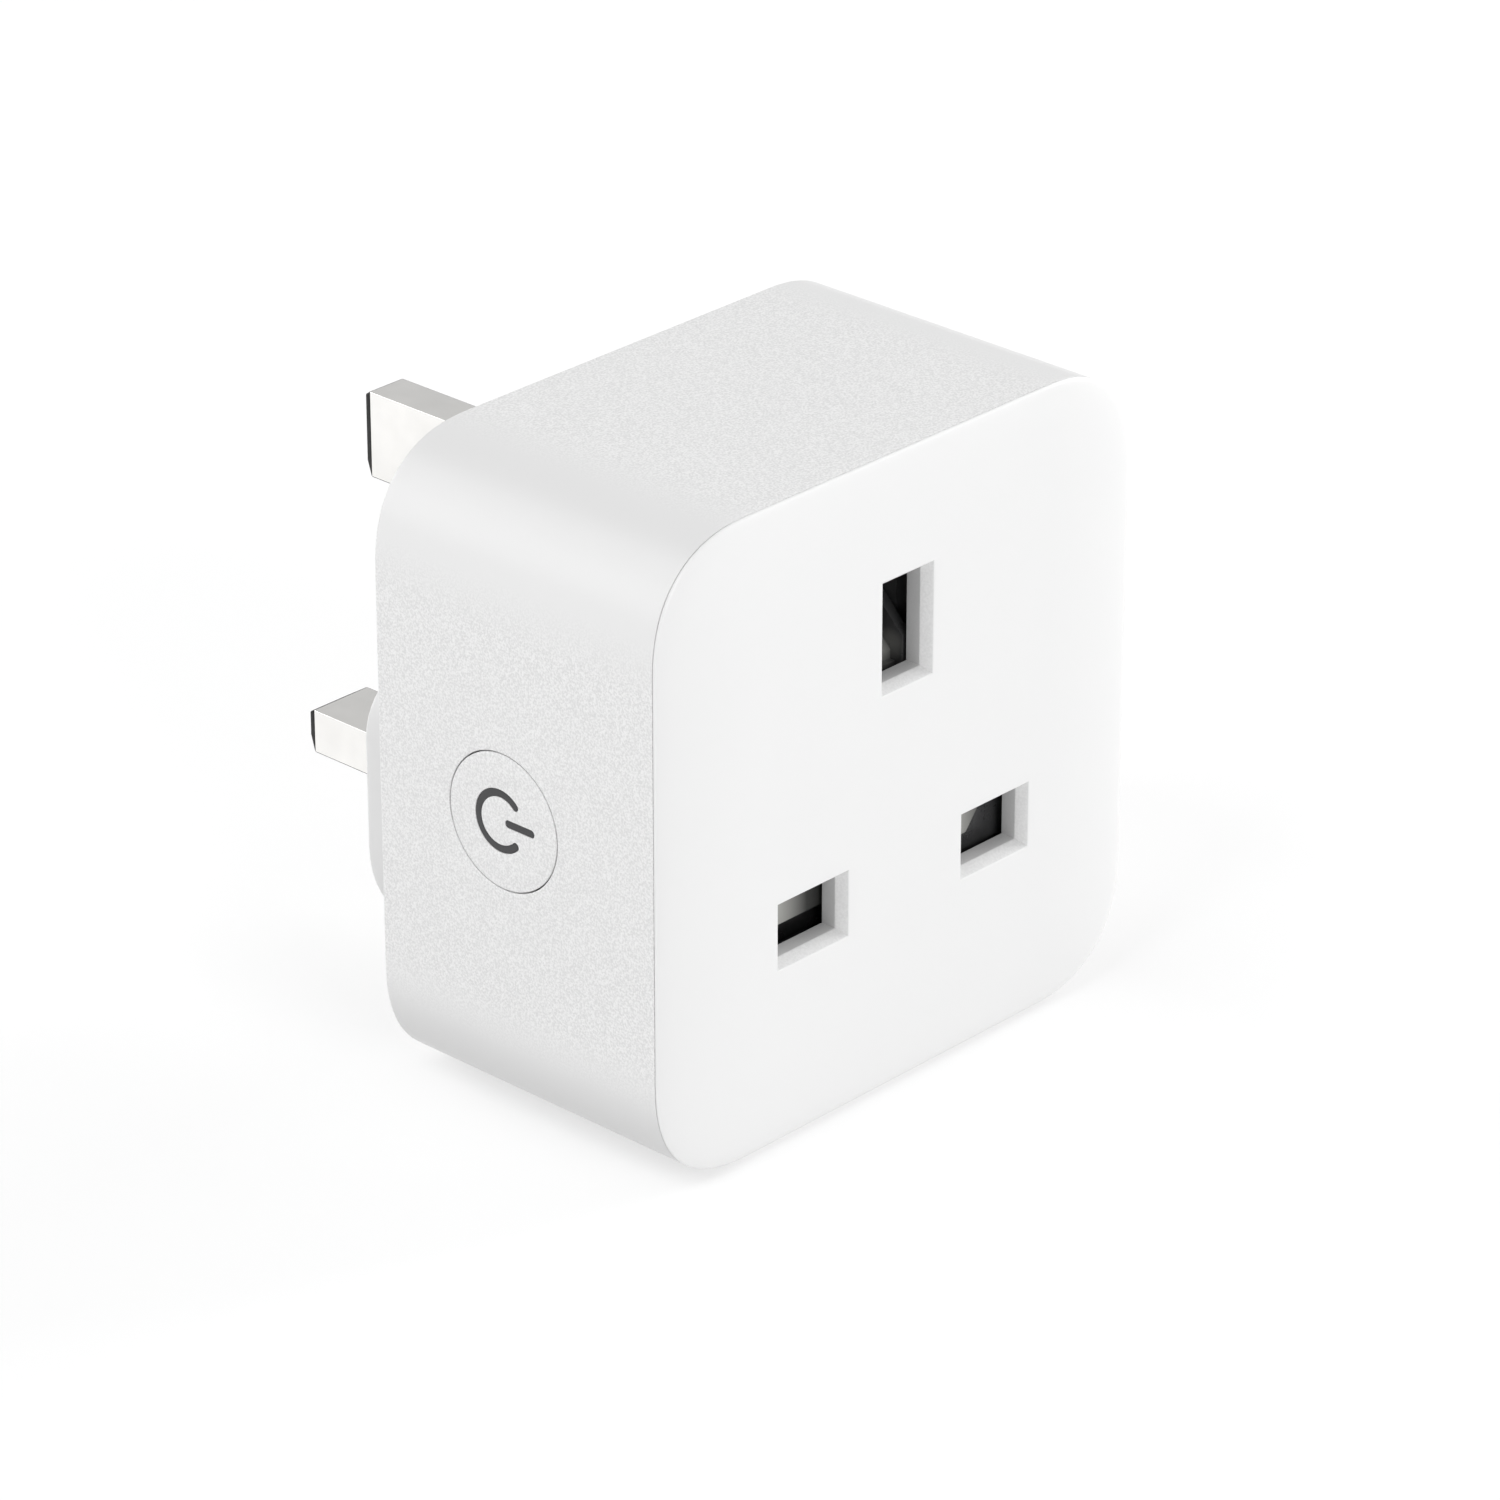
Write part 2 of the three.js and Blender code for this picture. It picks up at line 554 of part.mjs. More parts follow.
// Pan-head screw that holds the power board on its post.
function boardScrew({ x, z }) {
  const head = rod("y", SCREW.head, [BOARD_FRONT - 1.5, BOARD_FRONT - 0.1], { x, z }, 20);
  const shank = rod("y", SCREW.shank, [BOARD_FRONT - 0.5, FLANGE_FRONT + 0.8], { x, z }, 12);
  const slot = block([x - 1.6, x + 1.6], [BOARD_FRONT - 2, BOARD_FRONT - 0.8], [z - 0.3, z + 0.3]);
  const cross = block([x - 0.3, x + 0.3], [BOARD_FRONT - 2, BOARD_FRONT - 0.8], [z - 1.6, z + 1.6]);
  return cut(join(head, shank), slot, cross);
}

// A small upright box on the power board.
const onBoard = ([x0, x1], height, [z0, z1]) => block([x0, x1], [SEAT - height, SEAT], [z0, z1]);

const relay = () => onBoard([6.6, 25], 15, [-1.5, 13.9]);
const filmCapacitor = () => onBoard([-8, 7], 9.5, [-24.3, -17.9]);
const bridgeRectifier = () => onBoard([-16, -11], 1.8, [-22, -17.8]);
const converterChip = () => onBoard([10, 15], 1.6, [-21.5, -17.7]);
const meteringChip = () => onBoard([-5, -1], 1.2, [-1, 3]);
const shuntResistor = () => onBoard([-5.5, -0.5], 0.9, [-9, -5.8]);
const bulkCapacitor = () => rod("y", 4, [SEAT - 13, SEAT], { x: -10.5, z: 19.4 });
const fuseResistor = () => rod("x", 1.7, [7.5, 15.5], { y: SEAT - 2.1, z: 19.5 }, 16);
const varistor = () => rod("z", 3.6, [14.5, 17.5], { x: 21.2, y: SEAT - 4.2 });

// Drum-core choke: two flanges and a wound waist.
function drumChoke() {
  const at = { x: -11.2, z: 6.4 };
  return join(
    rod("y", 4.4, [SEAT - 9, SEAT - 7.8], at),
    rod("y", 3.9, [SEAT - 7.9, SEAT - 1.1], at),
    rod("y", 4.4, [SEAT - 1.2, SEAT], at),
  );
}

// ---- Links behind the power board ----

const LINK = [BOARD_BACK + 0.15, BOARD_BACK + 0.85];
const tailSlot = (x, z) => post(x, z, 3.4, 2, [LINK[0] - 1, LINK[1] + 1]);

const neutralLink = () => cut(post(NEUTRAL_X, LINE_Z - 1, 4.6, 8, LINK), tailSlot(NEUTRAL_X, LINE_Z));
const liveLinkIn = () => cut(post(LIVE_X, LINE_Z + 6, 4.6, 16, LINK), tailSlot(LIVE_X, LINE_Z));

function liveLinkOut() {
  const up = block([18.6, 21.8], LINK, [-14.6, 5]);
  const across = block([LIVE_X - 2.3, 21.8], LINK, [-14.6, LINE_Z - 2.4]);
  return join(up, across);
}

// Plate that ties the earth pin's tail to the earth contact's base.
function earthLink() {
  const plate = post(0, EARTH_Z, 4.8, 6, [FRONT + 23.85, BOARD_FRONT - 0.15]);
  return cut(plate, post(0, EARTH_Z, 3.3, 1.9, [FRONT + 23, BOARD_FRONT + 1]));
}

// ---- Finishes ----
const FINISH = {
  shellPlastic: { color: 0xe6e6e6, roughness: 0.6, metalness: 0 },
  coverPlastic: { color: 0xf1f1f1, roughness: 0.4, metalness: 0 },
  basePlastic: { color: 0xdedede, roughness: 0.5, metalness: 0 },
  sleevePlastic: { color: 0x1b1b1c, roughness: 0.5, metalness: 0 },
  platedBrass: { color: 0xd8d6d0, roughness: 0.2, metalness: 1 },
  contactCopper: { color: 0xc98f55, roughness: 0.3, metalness: 1 },
  carrierPlastic: { color: 0x2a2b2d, roughness: 0.6, metalness: 0 },
  shutterPlastic: { color: 0x26272a, roughness: 0.45, metalness: 0 },
  springSteel: { color: 0xb9bcc0, roughness: 0.3, metalness: 1 },
  iconPipe: { color: 0x505050, roughness: 0.4, metalness: 0 },
  switchBlack: { color: 0x202022, roughness: 0.5, metalness: 0 },
  ledLens: { color: 0xf4f7ff, roughness: 0.2, metalness: 0 },
  boardGreen: { color: 0x1f5a3a, roughness: 0.4, metalness: 0 },
  canSteel: { color: 0xc4c7ca, roughness: 0.35, metalness: 1 },
  relayBlue: { color: 0x2a5fa8, roughness: 0.4, metalness: 0 },
  capacitorSleeve: { color: 0x23272e, roughness: 0.35, metalness: 0 },
  filmBox: { color: 0xc9a23a, roughness: 0.4, metalness: 0 },
  varistorBlue: { color: 0x2f6f9f, roughness: 0.5, metalness: 0 },
  resistorGreen: { color: 0x7d9a7a, roughness: 0.5, metalness: 0 },
  chipBlack: { color: 0x18181a, roughness: 0.5, metalness: 0 },
  ferrite: { color: 0x3a3836, roughness: 0.7, metalness: 0 },
};

// ---- Assembly ----

// A group of named pieces; pieces is a list of [name, solid, finish].
function assembly(pieces) {
  const group = new THREE.Group();
  for (const [name, shape, finish] of pieces) {
    const { vertProperties, triVerts } = shape.getMesh();
    const geometry = new THREE.BufferGeometry();
    geometry.setAttribute("position", new THREE.BufferAttribute(vertProperties, 3));
    geometry.setIndex(new THREE.BufferAttribute(triVerts, 1));
    geometry.computeVertexNormals();
    const mesh = new THREE.Mesh(geometry, new THREE.MeshStandardMaterial(FINISH[finish]));
    mesh.name = name;
    group.add(mesh);
  }
  return group;
}

const housing = assembly([
  ["front_cover", frontCover(), "coverPlastic"],
  ["main_shell", mainShell(), "shellPlastic"],
  ["plug_base", plugBase(), "basePlastic"],
]);

const pins = assembly([
  ["earth_pin", earthPin(), "platedBrass"],
  ["live_pin", linePin(LIVE_X), "platedBrass"],
  ["neutral_pin", linePin(NEUTRAL_X), "platedBrass"],
  ["live_pin_sleeve", pinSleeve(LIVE_X), "sleevePlastic"],
  ["neutral_pin_sleeve", pinSleeve(NEUTRAL_X), "sleevePlastic"],
]);

const socket = assembly([
  ["contact_carrier", contactCarrier(), "carrierPlastic"],
  ["earth_contact", earthContact(), "contactCopper"],
  ["live_contact", lineContact(LIVE_X), "contactCopper"],
  ["neutral_contact", lineContact(NEUTRAL_X), "contactCopper"],
  ["shutter", shutter(), "shutterPlastic"],
  ["shutter_spring", shutterSpring(), "springSteel"],
]);

const button = assembly([
  ["button_cap", buttonCap(), "shellPlastic"],
  ["icon_light_pipe", iconLightPipe(), "iconPipe"],
  ["switch_plunger", switchPlunger(), "switchBlack"],
]);

const control = assembly([
  ["control_board", controlBoard(), "boardGreen"],
  ["tact_switch", tactSwitch(), "switchBlack"],
  ["status_led", statusLed(), "ledLens"],
  ["radio_board", radioBoard(), "boardGreen"],
  ["radio_shield_can", shieldCan(), "canSteel"],
  ["radio_antenna", antenna(), "contactCopper"],
  ["board_header", boardHeader(), "switchBlack"],
]);

const power = assembly([
  ["power_board", powerBoard(), "boardGreen"],
  ["relay", relay(), "relayBlue"],
  ["bulk_capacitor", bulkCapacitor(), "capacitorSleeve"],
  ["film_capacitor", filmCapacitor(), "filmBox"],
  ["drum_choke", drumChoke(), "ferrite"],
  ["varistor", varistor(), "varistorBlue"],
  ["fuse_resistor", fuseResistor(), "resistorGreen"],
  ["bridge_rectifier", bridgeRectifier(), "chipBlack"],
  ["converter_chip", converterChip(), "chipBlack"],
  ["metering_chip", meteringChip(), "chipBlack"],
  ["shunt_resistor", shuntResistor(), "contactCopper"],
  ["neutral_link", neutralLink(), "contactCopper"],
  ["live_link_in", liveLinkIn(), "contactCopper"],
  ["live_link_out", liveLinkOut(), "contactCopper"],
  ["earth_link", earthLink(), "contactCopper"],
  ...screwPlaces.map((at, i) => [`board_screw_${i + 1}`, boardScrew(at), "springSteel"]),
]);

const smartPlug = new THREE.Group();
smartPlug.add(housing, pins, socket, button, control, power);

export default smartPlug;
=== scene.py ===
"""Smart plug: a square adaptor with three flat pins, a shuttered socket and a power button.

Shapes are worked out in millimetres and turned to metres when a piece's mesh is made.
Seen from the front, +X is right and +Z is up; +Y points at the wall.
"""

import json
import math

import bmesh
import bpy
import numpy as np
from bpy.props import FloatProperty, FloatVectorProperty, PointerProperty
from mathutils import Euler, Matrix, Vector
from mathutils.geometry import delaunay_2d_cdt


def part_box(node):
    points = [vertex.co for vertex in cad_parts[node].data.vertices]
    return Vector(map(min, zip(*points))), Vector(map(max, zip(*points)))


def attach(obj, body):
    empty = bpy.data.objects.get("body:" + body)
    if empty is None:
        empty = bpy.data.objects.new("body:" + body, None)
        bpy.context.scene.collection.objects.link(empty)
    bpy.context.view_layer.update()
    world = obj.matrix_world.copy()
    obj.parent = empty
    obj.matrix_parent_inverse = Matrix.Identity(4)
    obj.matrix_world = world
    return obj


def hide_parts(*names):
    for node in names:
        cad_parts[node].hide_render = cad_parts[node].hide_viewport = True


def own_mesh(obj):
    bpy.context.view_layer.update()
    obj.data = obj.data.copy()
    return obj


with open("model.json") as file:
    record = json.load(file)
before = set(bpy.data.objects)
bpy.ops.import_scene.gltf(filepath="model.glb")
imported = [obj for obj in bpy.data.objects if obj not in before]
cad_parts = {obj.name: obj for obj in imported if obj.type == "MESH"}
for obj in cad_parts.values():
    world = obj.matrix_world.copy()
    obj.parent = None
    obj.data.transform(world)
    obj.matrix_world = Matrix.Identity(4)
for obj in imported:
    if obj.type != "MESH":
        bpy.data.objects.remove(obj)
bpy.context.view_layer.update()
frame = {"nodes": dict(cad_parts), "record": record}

bl_info = {
    "name": "Smart plug",
    "version": (1, 0, 0),
    "blender": (4, 5, 0),
    "location": "View3D > Sidebar > Smart plug",
    "description": "Builds the pieces and finishes of a pass-through smart plug",
    "category": "Add Mesh",
}

MM = 0.001
QUARTER = math.pi / 2
WHOLE = 2 * math.pi
WELD = 2e-7  # points of neighbouring patches closer than this are one, in metres
CREASE = math.radians(32)  # edges sharper than this stay crisp
CORNER_STEPS = 24
ARC_STEPS = 12
ROUND_STEPS = 96
SOFT_STEPS = 4
SOFT = np.linspace(0, QUARTER, SOFT_STEPS + 1)  # the turn of a softened edge
FIT = 0.15  # clearance round a piece held in a hole, in millimetres


# ---- Planes and places taken from the frame, in millimetres ----


def box_mm(node):
    """Lowest and highest corner of a CAD node."""
    low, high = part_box(node)
    return np.array(low) / MM, np.array(high) / MM


def middle_mm(node):
    """Middle of a CAD node's box."""
    low, high = box_mm(node)
    return (low + high) / 2


SIDE, RIM, _ = box_mm("main_shell")[0]  # outer face of the left wall, and the shell's front edge
HALF, BACK, _ = box_mm("main_shell")[1]  # half the body's width, and the plane of its back
FRONT = box_mm("front_cover")[0][1]
COVER_END = box_mm("front_cover")[1][1]
POST_FRONT = box_mm("plug_base")[0][1]
LIVE_X, _, LINE_Z = middle_mm("live_pin")
EARTH_Z = middle_mm("earth_pin")[2]
_, BUTTON_Y, BUTTON_Z = middle_mm("button_cap")


# ---- Sizes and colours that a user would change ----


def length(name, description, millimetres):
    """A length property, given in millimetres."""
    return FloatProperty(
        name=name, description=description, default=millimetres * MM, unit="LENGTH", precision=5
    )


def pair(name, description, width, height):
    """A width and a height in millimetres."""
    return FloatVectorProperty(
        name=name, description=description, default=(width * MM, height * MM), size=2, unit="LENGTH"
    )


def colour(name, description, *rgb):
    """A colour property; one value alone is a grey."""
    rgb = rgb * (3 // len(rgb))
    return FloatVectorProperty(
        name=name, description=description, default=rgb, size=3, subtype="COLOR", min=0, max=1
    )


def factor(name, description, value):
    """A plain number with no unit."""
    return FloatProperty(name=name, description=description, default=value, min=0)


def rotation(name, description, radians):
    """An angle property."""
    return FloatProperty(name=name, description=description, default=radians, unit="ROTATION")


class HousingSettings(bpy.types.PropertyGroup):
    corner: length("Corner", "Reach of each rounded corner along the sides", 10.8)
    power: factor("Corner power", "2 is a round corner, more is squarer", 2.4)
    crown: length("Crown", "How far the front cover falls away to its rim", 1.09)
    wall: length("Wall", "Thickness of the shell's walls", 2)
    spigot: length("Spigot inset", "How far inside the outline the cover and the base fit", 2.3)
    seam: length("Seam", "Open hairline between the cover and the shell", 0.09)
    front_edge: length("Front edge", "Softening of the shell's front edge", 0.05)
    back_edge: length("Back edge", "Softening of the shell's back edge", 0.2)
    grain: length("Grain", "Size of the shell's spark-eroded grain", 0.18)
    grain_depth: length("Grain depth", "Height of the shell's grain", 0.008)
    cover_colour: colour("Cover", "Front cover", 0.72)
    shell_colour: colour("Shell", "Main shell and button", 0.7)
    base_colour: colour("Base", "Pin boss", 0.68)


class SocketSettings(bpy.types.PropertyGroup):
    line_mouth: pair("Line mouth", "Live and neutral apertures at the face", 8.5, 6.07)
    earth_mouth: pair("Earth mouth", "Earth aperture at the face", 6.23, 10.09)
    chamfer_inset: length("Chamfer inset", "Width of the chamfer round an aperture", 0.67)
    chamfer_depth: length("Chamfer depth", "Depth of the chamfer round an aperture", 0.92)
    depth: length("Depth", "Thickness of the cover round the apertures", 2.35)
    edge: length("Edge", "Softening of the apertures' edges", 0.07)
    # Painted shade: the chamfers and throats are the cover's plastic made darker, standing in for the
    # shade inside the apertures.
    chamfer_colour: colour("Chamfers", "Chamfers round the apertures", 0.64)
    throat_colour: colour("Throats", "Straight walls of the apertures", 0.58)
    shutter_colour: colour("Shutter", "Moulded shutter", 0.045, 0.045, 0.046)
    flag_colour: colour("Flags", "Pale facings behind the live and neutral apertures", 0.36, 0.36, 0.34)


class PinSettings(bpy.types.PropertyGroup):
    line_pin: pair("Line pin", "Section of the live and neutral pins", 6.35, 4)
    earth_pin: pair("Earth pin", "Section of the earth pin", 4, 7.95)
    core: pair("Core", "Pin metal inside the sleeve", 4.9, 2.55)
    tip_length: length("Tip length", "Length of a pin's chamfered tip", 1.43)
    tip_inset: length("Tip inset", "How far the tip draws in", 0.9)
    edge: length("Edge", "Softening of the pins' long edges", 0.1)
    plate_colour: colour("Plate", "Nickel plate on the pins", 0.9, 0.89, 0.87)
    # Painted reflection: near black on the pins' tips and long edges, standing in for the dark
    # surroundings they reflect.
    dark_reflection_colour: colour("Edges", "Darkened tips and long edges of the pins", 0.006)
    sleeve_colour: colour("Sleeve", "Insulating sleeves", 0.018, 0.018, 0.019)


class ButtonSettings(bpy.types.PropertyGroup):
    radius: length("Radius", "Radius of the button cap", 6)
    gap: length("Gap", "Open ring between the cap and the shell", 0.12)
    edge: length("Edge", "Softening of the cap's rim", 0.1)
    thickness: length("Thickness", "Thickness of the cap's disc", 1.2)
    ring: length("Ring", "Radius of the mark's open ring", 2.46)
    stroke: length("Stroke", "Width of the mark's lines", 0.66)
    offset: length("Offset", "How far the ring's centre lies behind the button's", 0.35)
    opening: rotation("Opening", "Half angle of the ring's opening", 0.8)
    bar_start: length("Bar start", "Front end of the mark's bar, from the button's centre", -3.16)
    bar_end: length("Bar end", "Back end of the mark's bar, from the button's centre", -0.57)
    mark_colour: colour("Mark", "Smoked light pipe", 0.03, 0.03, 0.032)


class InsideSettings(bpy.types.PropertyGroup):
    board_colour: colour("Boards", "Solder resist", 0.012, 0.105, 0.045)
    copper_colour: colour("Copper", "Contacts and links", 0.78, 0.47, 0.26)
    relay_colour: colour("Relay", "Relay case", 0.03, 0.12, 0.42)
    film_colour: colour("Film capacitor", "Film capacitor's box", 0.6, 0.36, 0.04)


class StageSettings(bpy.types.PropertyGroup):
    floor_colour: colour("Floor", "Plain pale floor", 0.4)
    floor_glow: factor("Floor glow", "How brightly the floor is lit from below", 0.55)
    surround: factor("Surround", "Strength of the even light from all round", 0.25)
    lens: FloatProperty(name="Lens", description="Camera lens", default=163.13, unit="CAMERA")
    turn: rotation("Turn", "Camera's turn round Z", math.radians(-46.95))
    dip: rotation("Dip", "How far the camera looks down", math.radians(25.95))
    eye: FloatVectorProperty(
        name="Eye",
        description="Place of the camera",
        default=(-0.37107, -0.36793, 0.24360),
        size=3,
        subtype="TRANSLATION",
    )


# ---- Patches and meshes ----


def on_y(uv, y):
    """Points (u, v) as x and z in the plane at depth y."""
    return np.stack(np.broadcast_arrays(uv[..., 0], y, uv[..., 1]), axis=-1)


def on_x(uv, x):
    """Points (u, v) as y and z in the plane at x."""
    return np.stack(np.broadcast_arrays(x, uv[..., 0], uv[..., 1]), axis=-1)


def on_z(uv, z):
    """Points (u, v) as x and y in the plane at height z."""
    return np.stack(np.broadcast_arrays(uv[..., 0], uv[..., 1], z), axis=-1)


def within(points, loops):
    """Which 2-D points lie inside the first loop and outside the others: each loop edge that a ray to
    the right of a point crosses flips the answer once."""
    inside = np.zeros(len(points), bool)
    px, py = points[:, :1], points[:, 1:]
    for loop in loops:
        (x0, y0), (x1, y1) = loop.T, np.roll(loop, -1, axis=0).T
        level = (y0 > py) != (y1 > py)
        rise = np.where(y1 == y0, 1, y1 - y0)
        hit = level & (px < x0 + (py - y0) * (x1 - x0) / rise)
        inside ^= hit.sum(axis=1) % 2 == 1
    return inside


def per_cell(value, rows, columns):
    """One value for every cell of a grid, from one value, one for each row, or one for each cell."""
    value = np.asarray(value)
    return np.broadcast_to(value[:, None] if value.ndim == 1 else value, (rows, columns))


class Skin:
    """The patches of one piece, in millimetres, welded into one mesh at the end."""

    def __init__(self):
        self.points = []
        self.faces = []
        self.flat = []
        self.finish = []
        self.count = 0

    def add(self, points, faces, flat=False, finish=0):
        """Adds points and faces; flat may hold one value for each face."""
        points = np.reshape(points, (-1, 3))
        self.points.append(points)
        self.faces += (np.asarray(faces) + self.count).tolist()
        self.flat.append(np.broadcast_to(flat, len(faces)))
        self.finish.append(np.broadcast_to(finish, len(faces)))
        self.count += len(points)

    def sheet(self, grid, keep=None, **look):
        """An open grid of points, shape (rows, columns, 3); keep says which cells stay."""
        rows, columns = grid.shape[:2]
        start = np.arange(rows - 1)[:, None] * columns + np.arange(columns - 1)
        faces = np.stack([start, start + 1, start + columns + 1, start + columns], axis=-1)
        faces = faces.reshape(-1, 4) if keep is None else faces[keep]
        self.add(grid, faces, **look)

    def tube(self, rings, flat=False, keep=None, finish=0):
        """Closed rings of points, shape (rings, points, 3), joined in order. flat and finish may hold
        one value for each band between rings or for each cell, and keep one for each cell."""
        rows, columns = rings.shape[:2]
        here = np.arange(columns)
        after = (here + 1) % columns
        row = np.arange(rows - 1)[:, None] * columns
        faces = np.stack([row + here, row + after, row + columns + after, row + columns + here], axis=-1)
        flat, finish = (per_cell(value, rows - 1, columns) for value in (flat, finish))
        keep = np.ones((rows - 1, columns), bool) if keep is None else keep
        self.add(rings, faces[keep], flat[keep], finish[keep])

    def carry(self, steps, place, flat=False, **look):
        """2-D loops joined in order; each step is a loop and where it stands on place's axis."""
        self.tube(np.stack([place(loop, at) for loop, at in steps]), flat, **look)

    def fill(self, loops, place, at, finish=0):
        """A flat face inside the first 2-D loop and outside the others, at one place on an axis."""
        ends = np.cumsum([len(loop) for loop in loops])
        here = np.arange(ends[-1])
        after = here + 1
        after[ends - 1] = ends - [len(loop) for loop in loops]
        edges = np.stack([here, after], axis=-1).tolist()
        points, _, faces, *_ = delaunay_2d_cdt(np.concatenate(loops).tolist(), edges, [], 0, 1e-7)
        points = np.array(points)
        faces = np.array(faces)
        self.add(place(points, at), faces[within(points[faces].mean(axis=1), loops)], True, finish)

    def prism(self, loop, place, ends, finish=0):
        """A 2-D loop thickened between two places along the axis that place works on."""
        low, high = ends
        self.fill([loop], place, low, finish)
        self.carry([(loop, low), (loop, high)], place, True, finish=finish)
        self.fill([loop], place, high, finish)

    def piece(self, name, body, slot, finishes, replaces):
        """Welds the patches, drops points that no face uses, turns the faces outwards and gives the
        piece its body and finishes; slot is not used."""
        mesh = bpy.data.meshes.new(name)
        mesh.from_pydata(np.concatenate(self.points) * MM, [], self.faces)
        mesh.polygons.foreach_set("use_smooth", ~np.concatenate(self.flat))
        mesh.polygons.foreach_set("material_index", np.concatenate(self.finish).astype(np.int32))
        for finish in finishes:
            mesh.materials.append(finish)
        work = bmesh.new()
        work.from_mesh(mesh)
        bmesh.ops.remove_doubles(work, verts=work.verts, dist=WELD)
        loose = [vertex for vertex in work.verts if not vertex.link_faces]
        bmesh.ops.delete(work, geom=loose, context="VERTS")
        bmesh.ops.recalc_face_normals(work, faces=work.faces)
        work.to_mesh(mesh)
        work.free()
        mesh.set_sharp_from_angle(angle=CREASE)
        made = bpy.data.objects.new(name, mesh)
        bpy.context.scene.collection.objects.link(made)
        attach(made, body)
        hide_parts(*replaces)
        return made


def spaced(low, high, stops, step):
    """Ascending values from low to high through every stop between them, at most step apart."""
    inner = [stop for stop in stops if low < stop < high]
    marks = np.unique(np.array([low, high, *inner]))
    runs = [
        np.linspace(a, b, math.ceil((b - a) / step) + 1)[:-1] for a, b in zip(marks, marks[1:])
    ]
    return np.concatenate([*runs, [high]])


def rectangle_loop(us, vs):
    """A rectangle's loop, anticlockwise from its low corner, through the ascending marks us and vs."""
    sides = [(us[:-1], vs[0]), (us[-1], vs[:-1]), (us[:0:-1], vs[-1]), (us[0], vs[:0:-1])]
    return np.concatenate([np.stack(np.broadcast_arrays(u, v), axis=-1) for u, v in sides])


def box_loop(x, z, width, height):
    """A plain rectangle's four corners about (x, z)."""
    us = np.array([x - width / 2, x + width / 2])
    vs = np.array([z - height / 2, z + height / 2])
    return rectangle_loop(us, vs)


def soft_loop(x, z, width, height, radius):
    """A rectangle about (x, z) with quarter-circle corners of a radius."""
    turn = SOFT + np.arange(4)[:, None] * QUARTER
    sign = np.array([[1, 1], [-1, 1], [-1, -1], [1, -1]])[:, None, :]
    centre = sign * (np.array([width, height]) / 2 - radius)
    arc = np.stack([np.cos(turn), np.sin(turn)], axis=-1) * radius
    return (centre + arc).reshape(-1, 2) + [x, z]


def arc_loop(arcs, steps=ARC_STEPS):
    """Arcs in order, each (centre u, centre v, radius, start angle, end angle), joined by straight
    lines: u = centre + radius cos(angle), v = centre + radius sin(angle)."""
    u, v, radius, start, end = np.array(arcs, float).T[:, :, None]
    angle = start + (end - start) * np.linspace(0, 1, steps + 1)
    return np.stack([u + radius * np.cos(angle), v + radius * np.sin(angle)], axis=-1).reshape(-1, 2)


def circle(radius, steps=ROUND_STEPS):
    """A circle about the button's axis, in y and z."""
    angle = np.arange(steps) * WHOLE / steps
    return np.stack([np.cos(angle), np.sin(angle)], axis=-1) * radius + [BUTTON_Y, BUTTON_Z]


def first_edge(edge, at):
    """A rounded edge that starts at a place: edge (1 - sin a) at depth at + edge (1 - cos a)."""
    return [(edge * (1 - math.sin(a)), at + edge * (1 - math.cos(a))) for a in SOFT]


def last_edge(edge, at):
    """A rounded edge that ends at a place: edge (1 - cos a) at depth at - edge (1 - sin a)."""
    return [(edge * (1 - math.cos(a)), at - edge * (1 - math.sin(a))) for a in SOFT]


def softened(corners, reach):
    """A profile whose inner corners are each replaced by a curve from reach before it to reach after
    it: (1-t)² before + 2t(1-t) corner + t² after. Returns its points and which spans are straight."""
    corners = np.array(corners, float)
    t = np.linspace(0, 1, SOFT_STEPS + 1)[:, None]
    runs = [corners[:1]]
    for before, corner, after in zip(corners, corners[1:], corners[2:]):
        start = corner + (before - corner) / np.linalg.norm(before - corner) * reach
        end = corner + (after - corner) / np.linalg.norm(after - corner) * reach
        runs.append((1 - t) ** 2 * start + 2 * t * (1 - t) * corner + t**2 * end)
    runs.append(corners[-1:])
    bends = [True] + [False] * SOFT_STEPS
    return np.concatenate(runs), np.array(bends * (len(corners) - 2) + [True])


# ---- Finishes ----


def shade(rgb, times=1.0):
    """A colour times a number, at most 1, and opaque."""
    return [*(min(1, c * times) for c in rgb), 1]


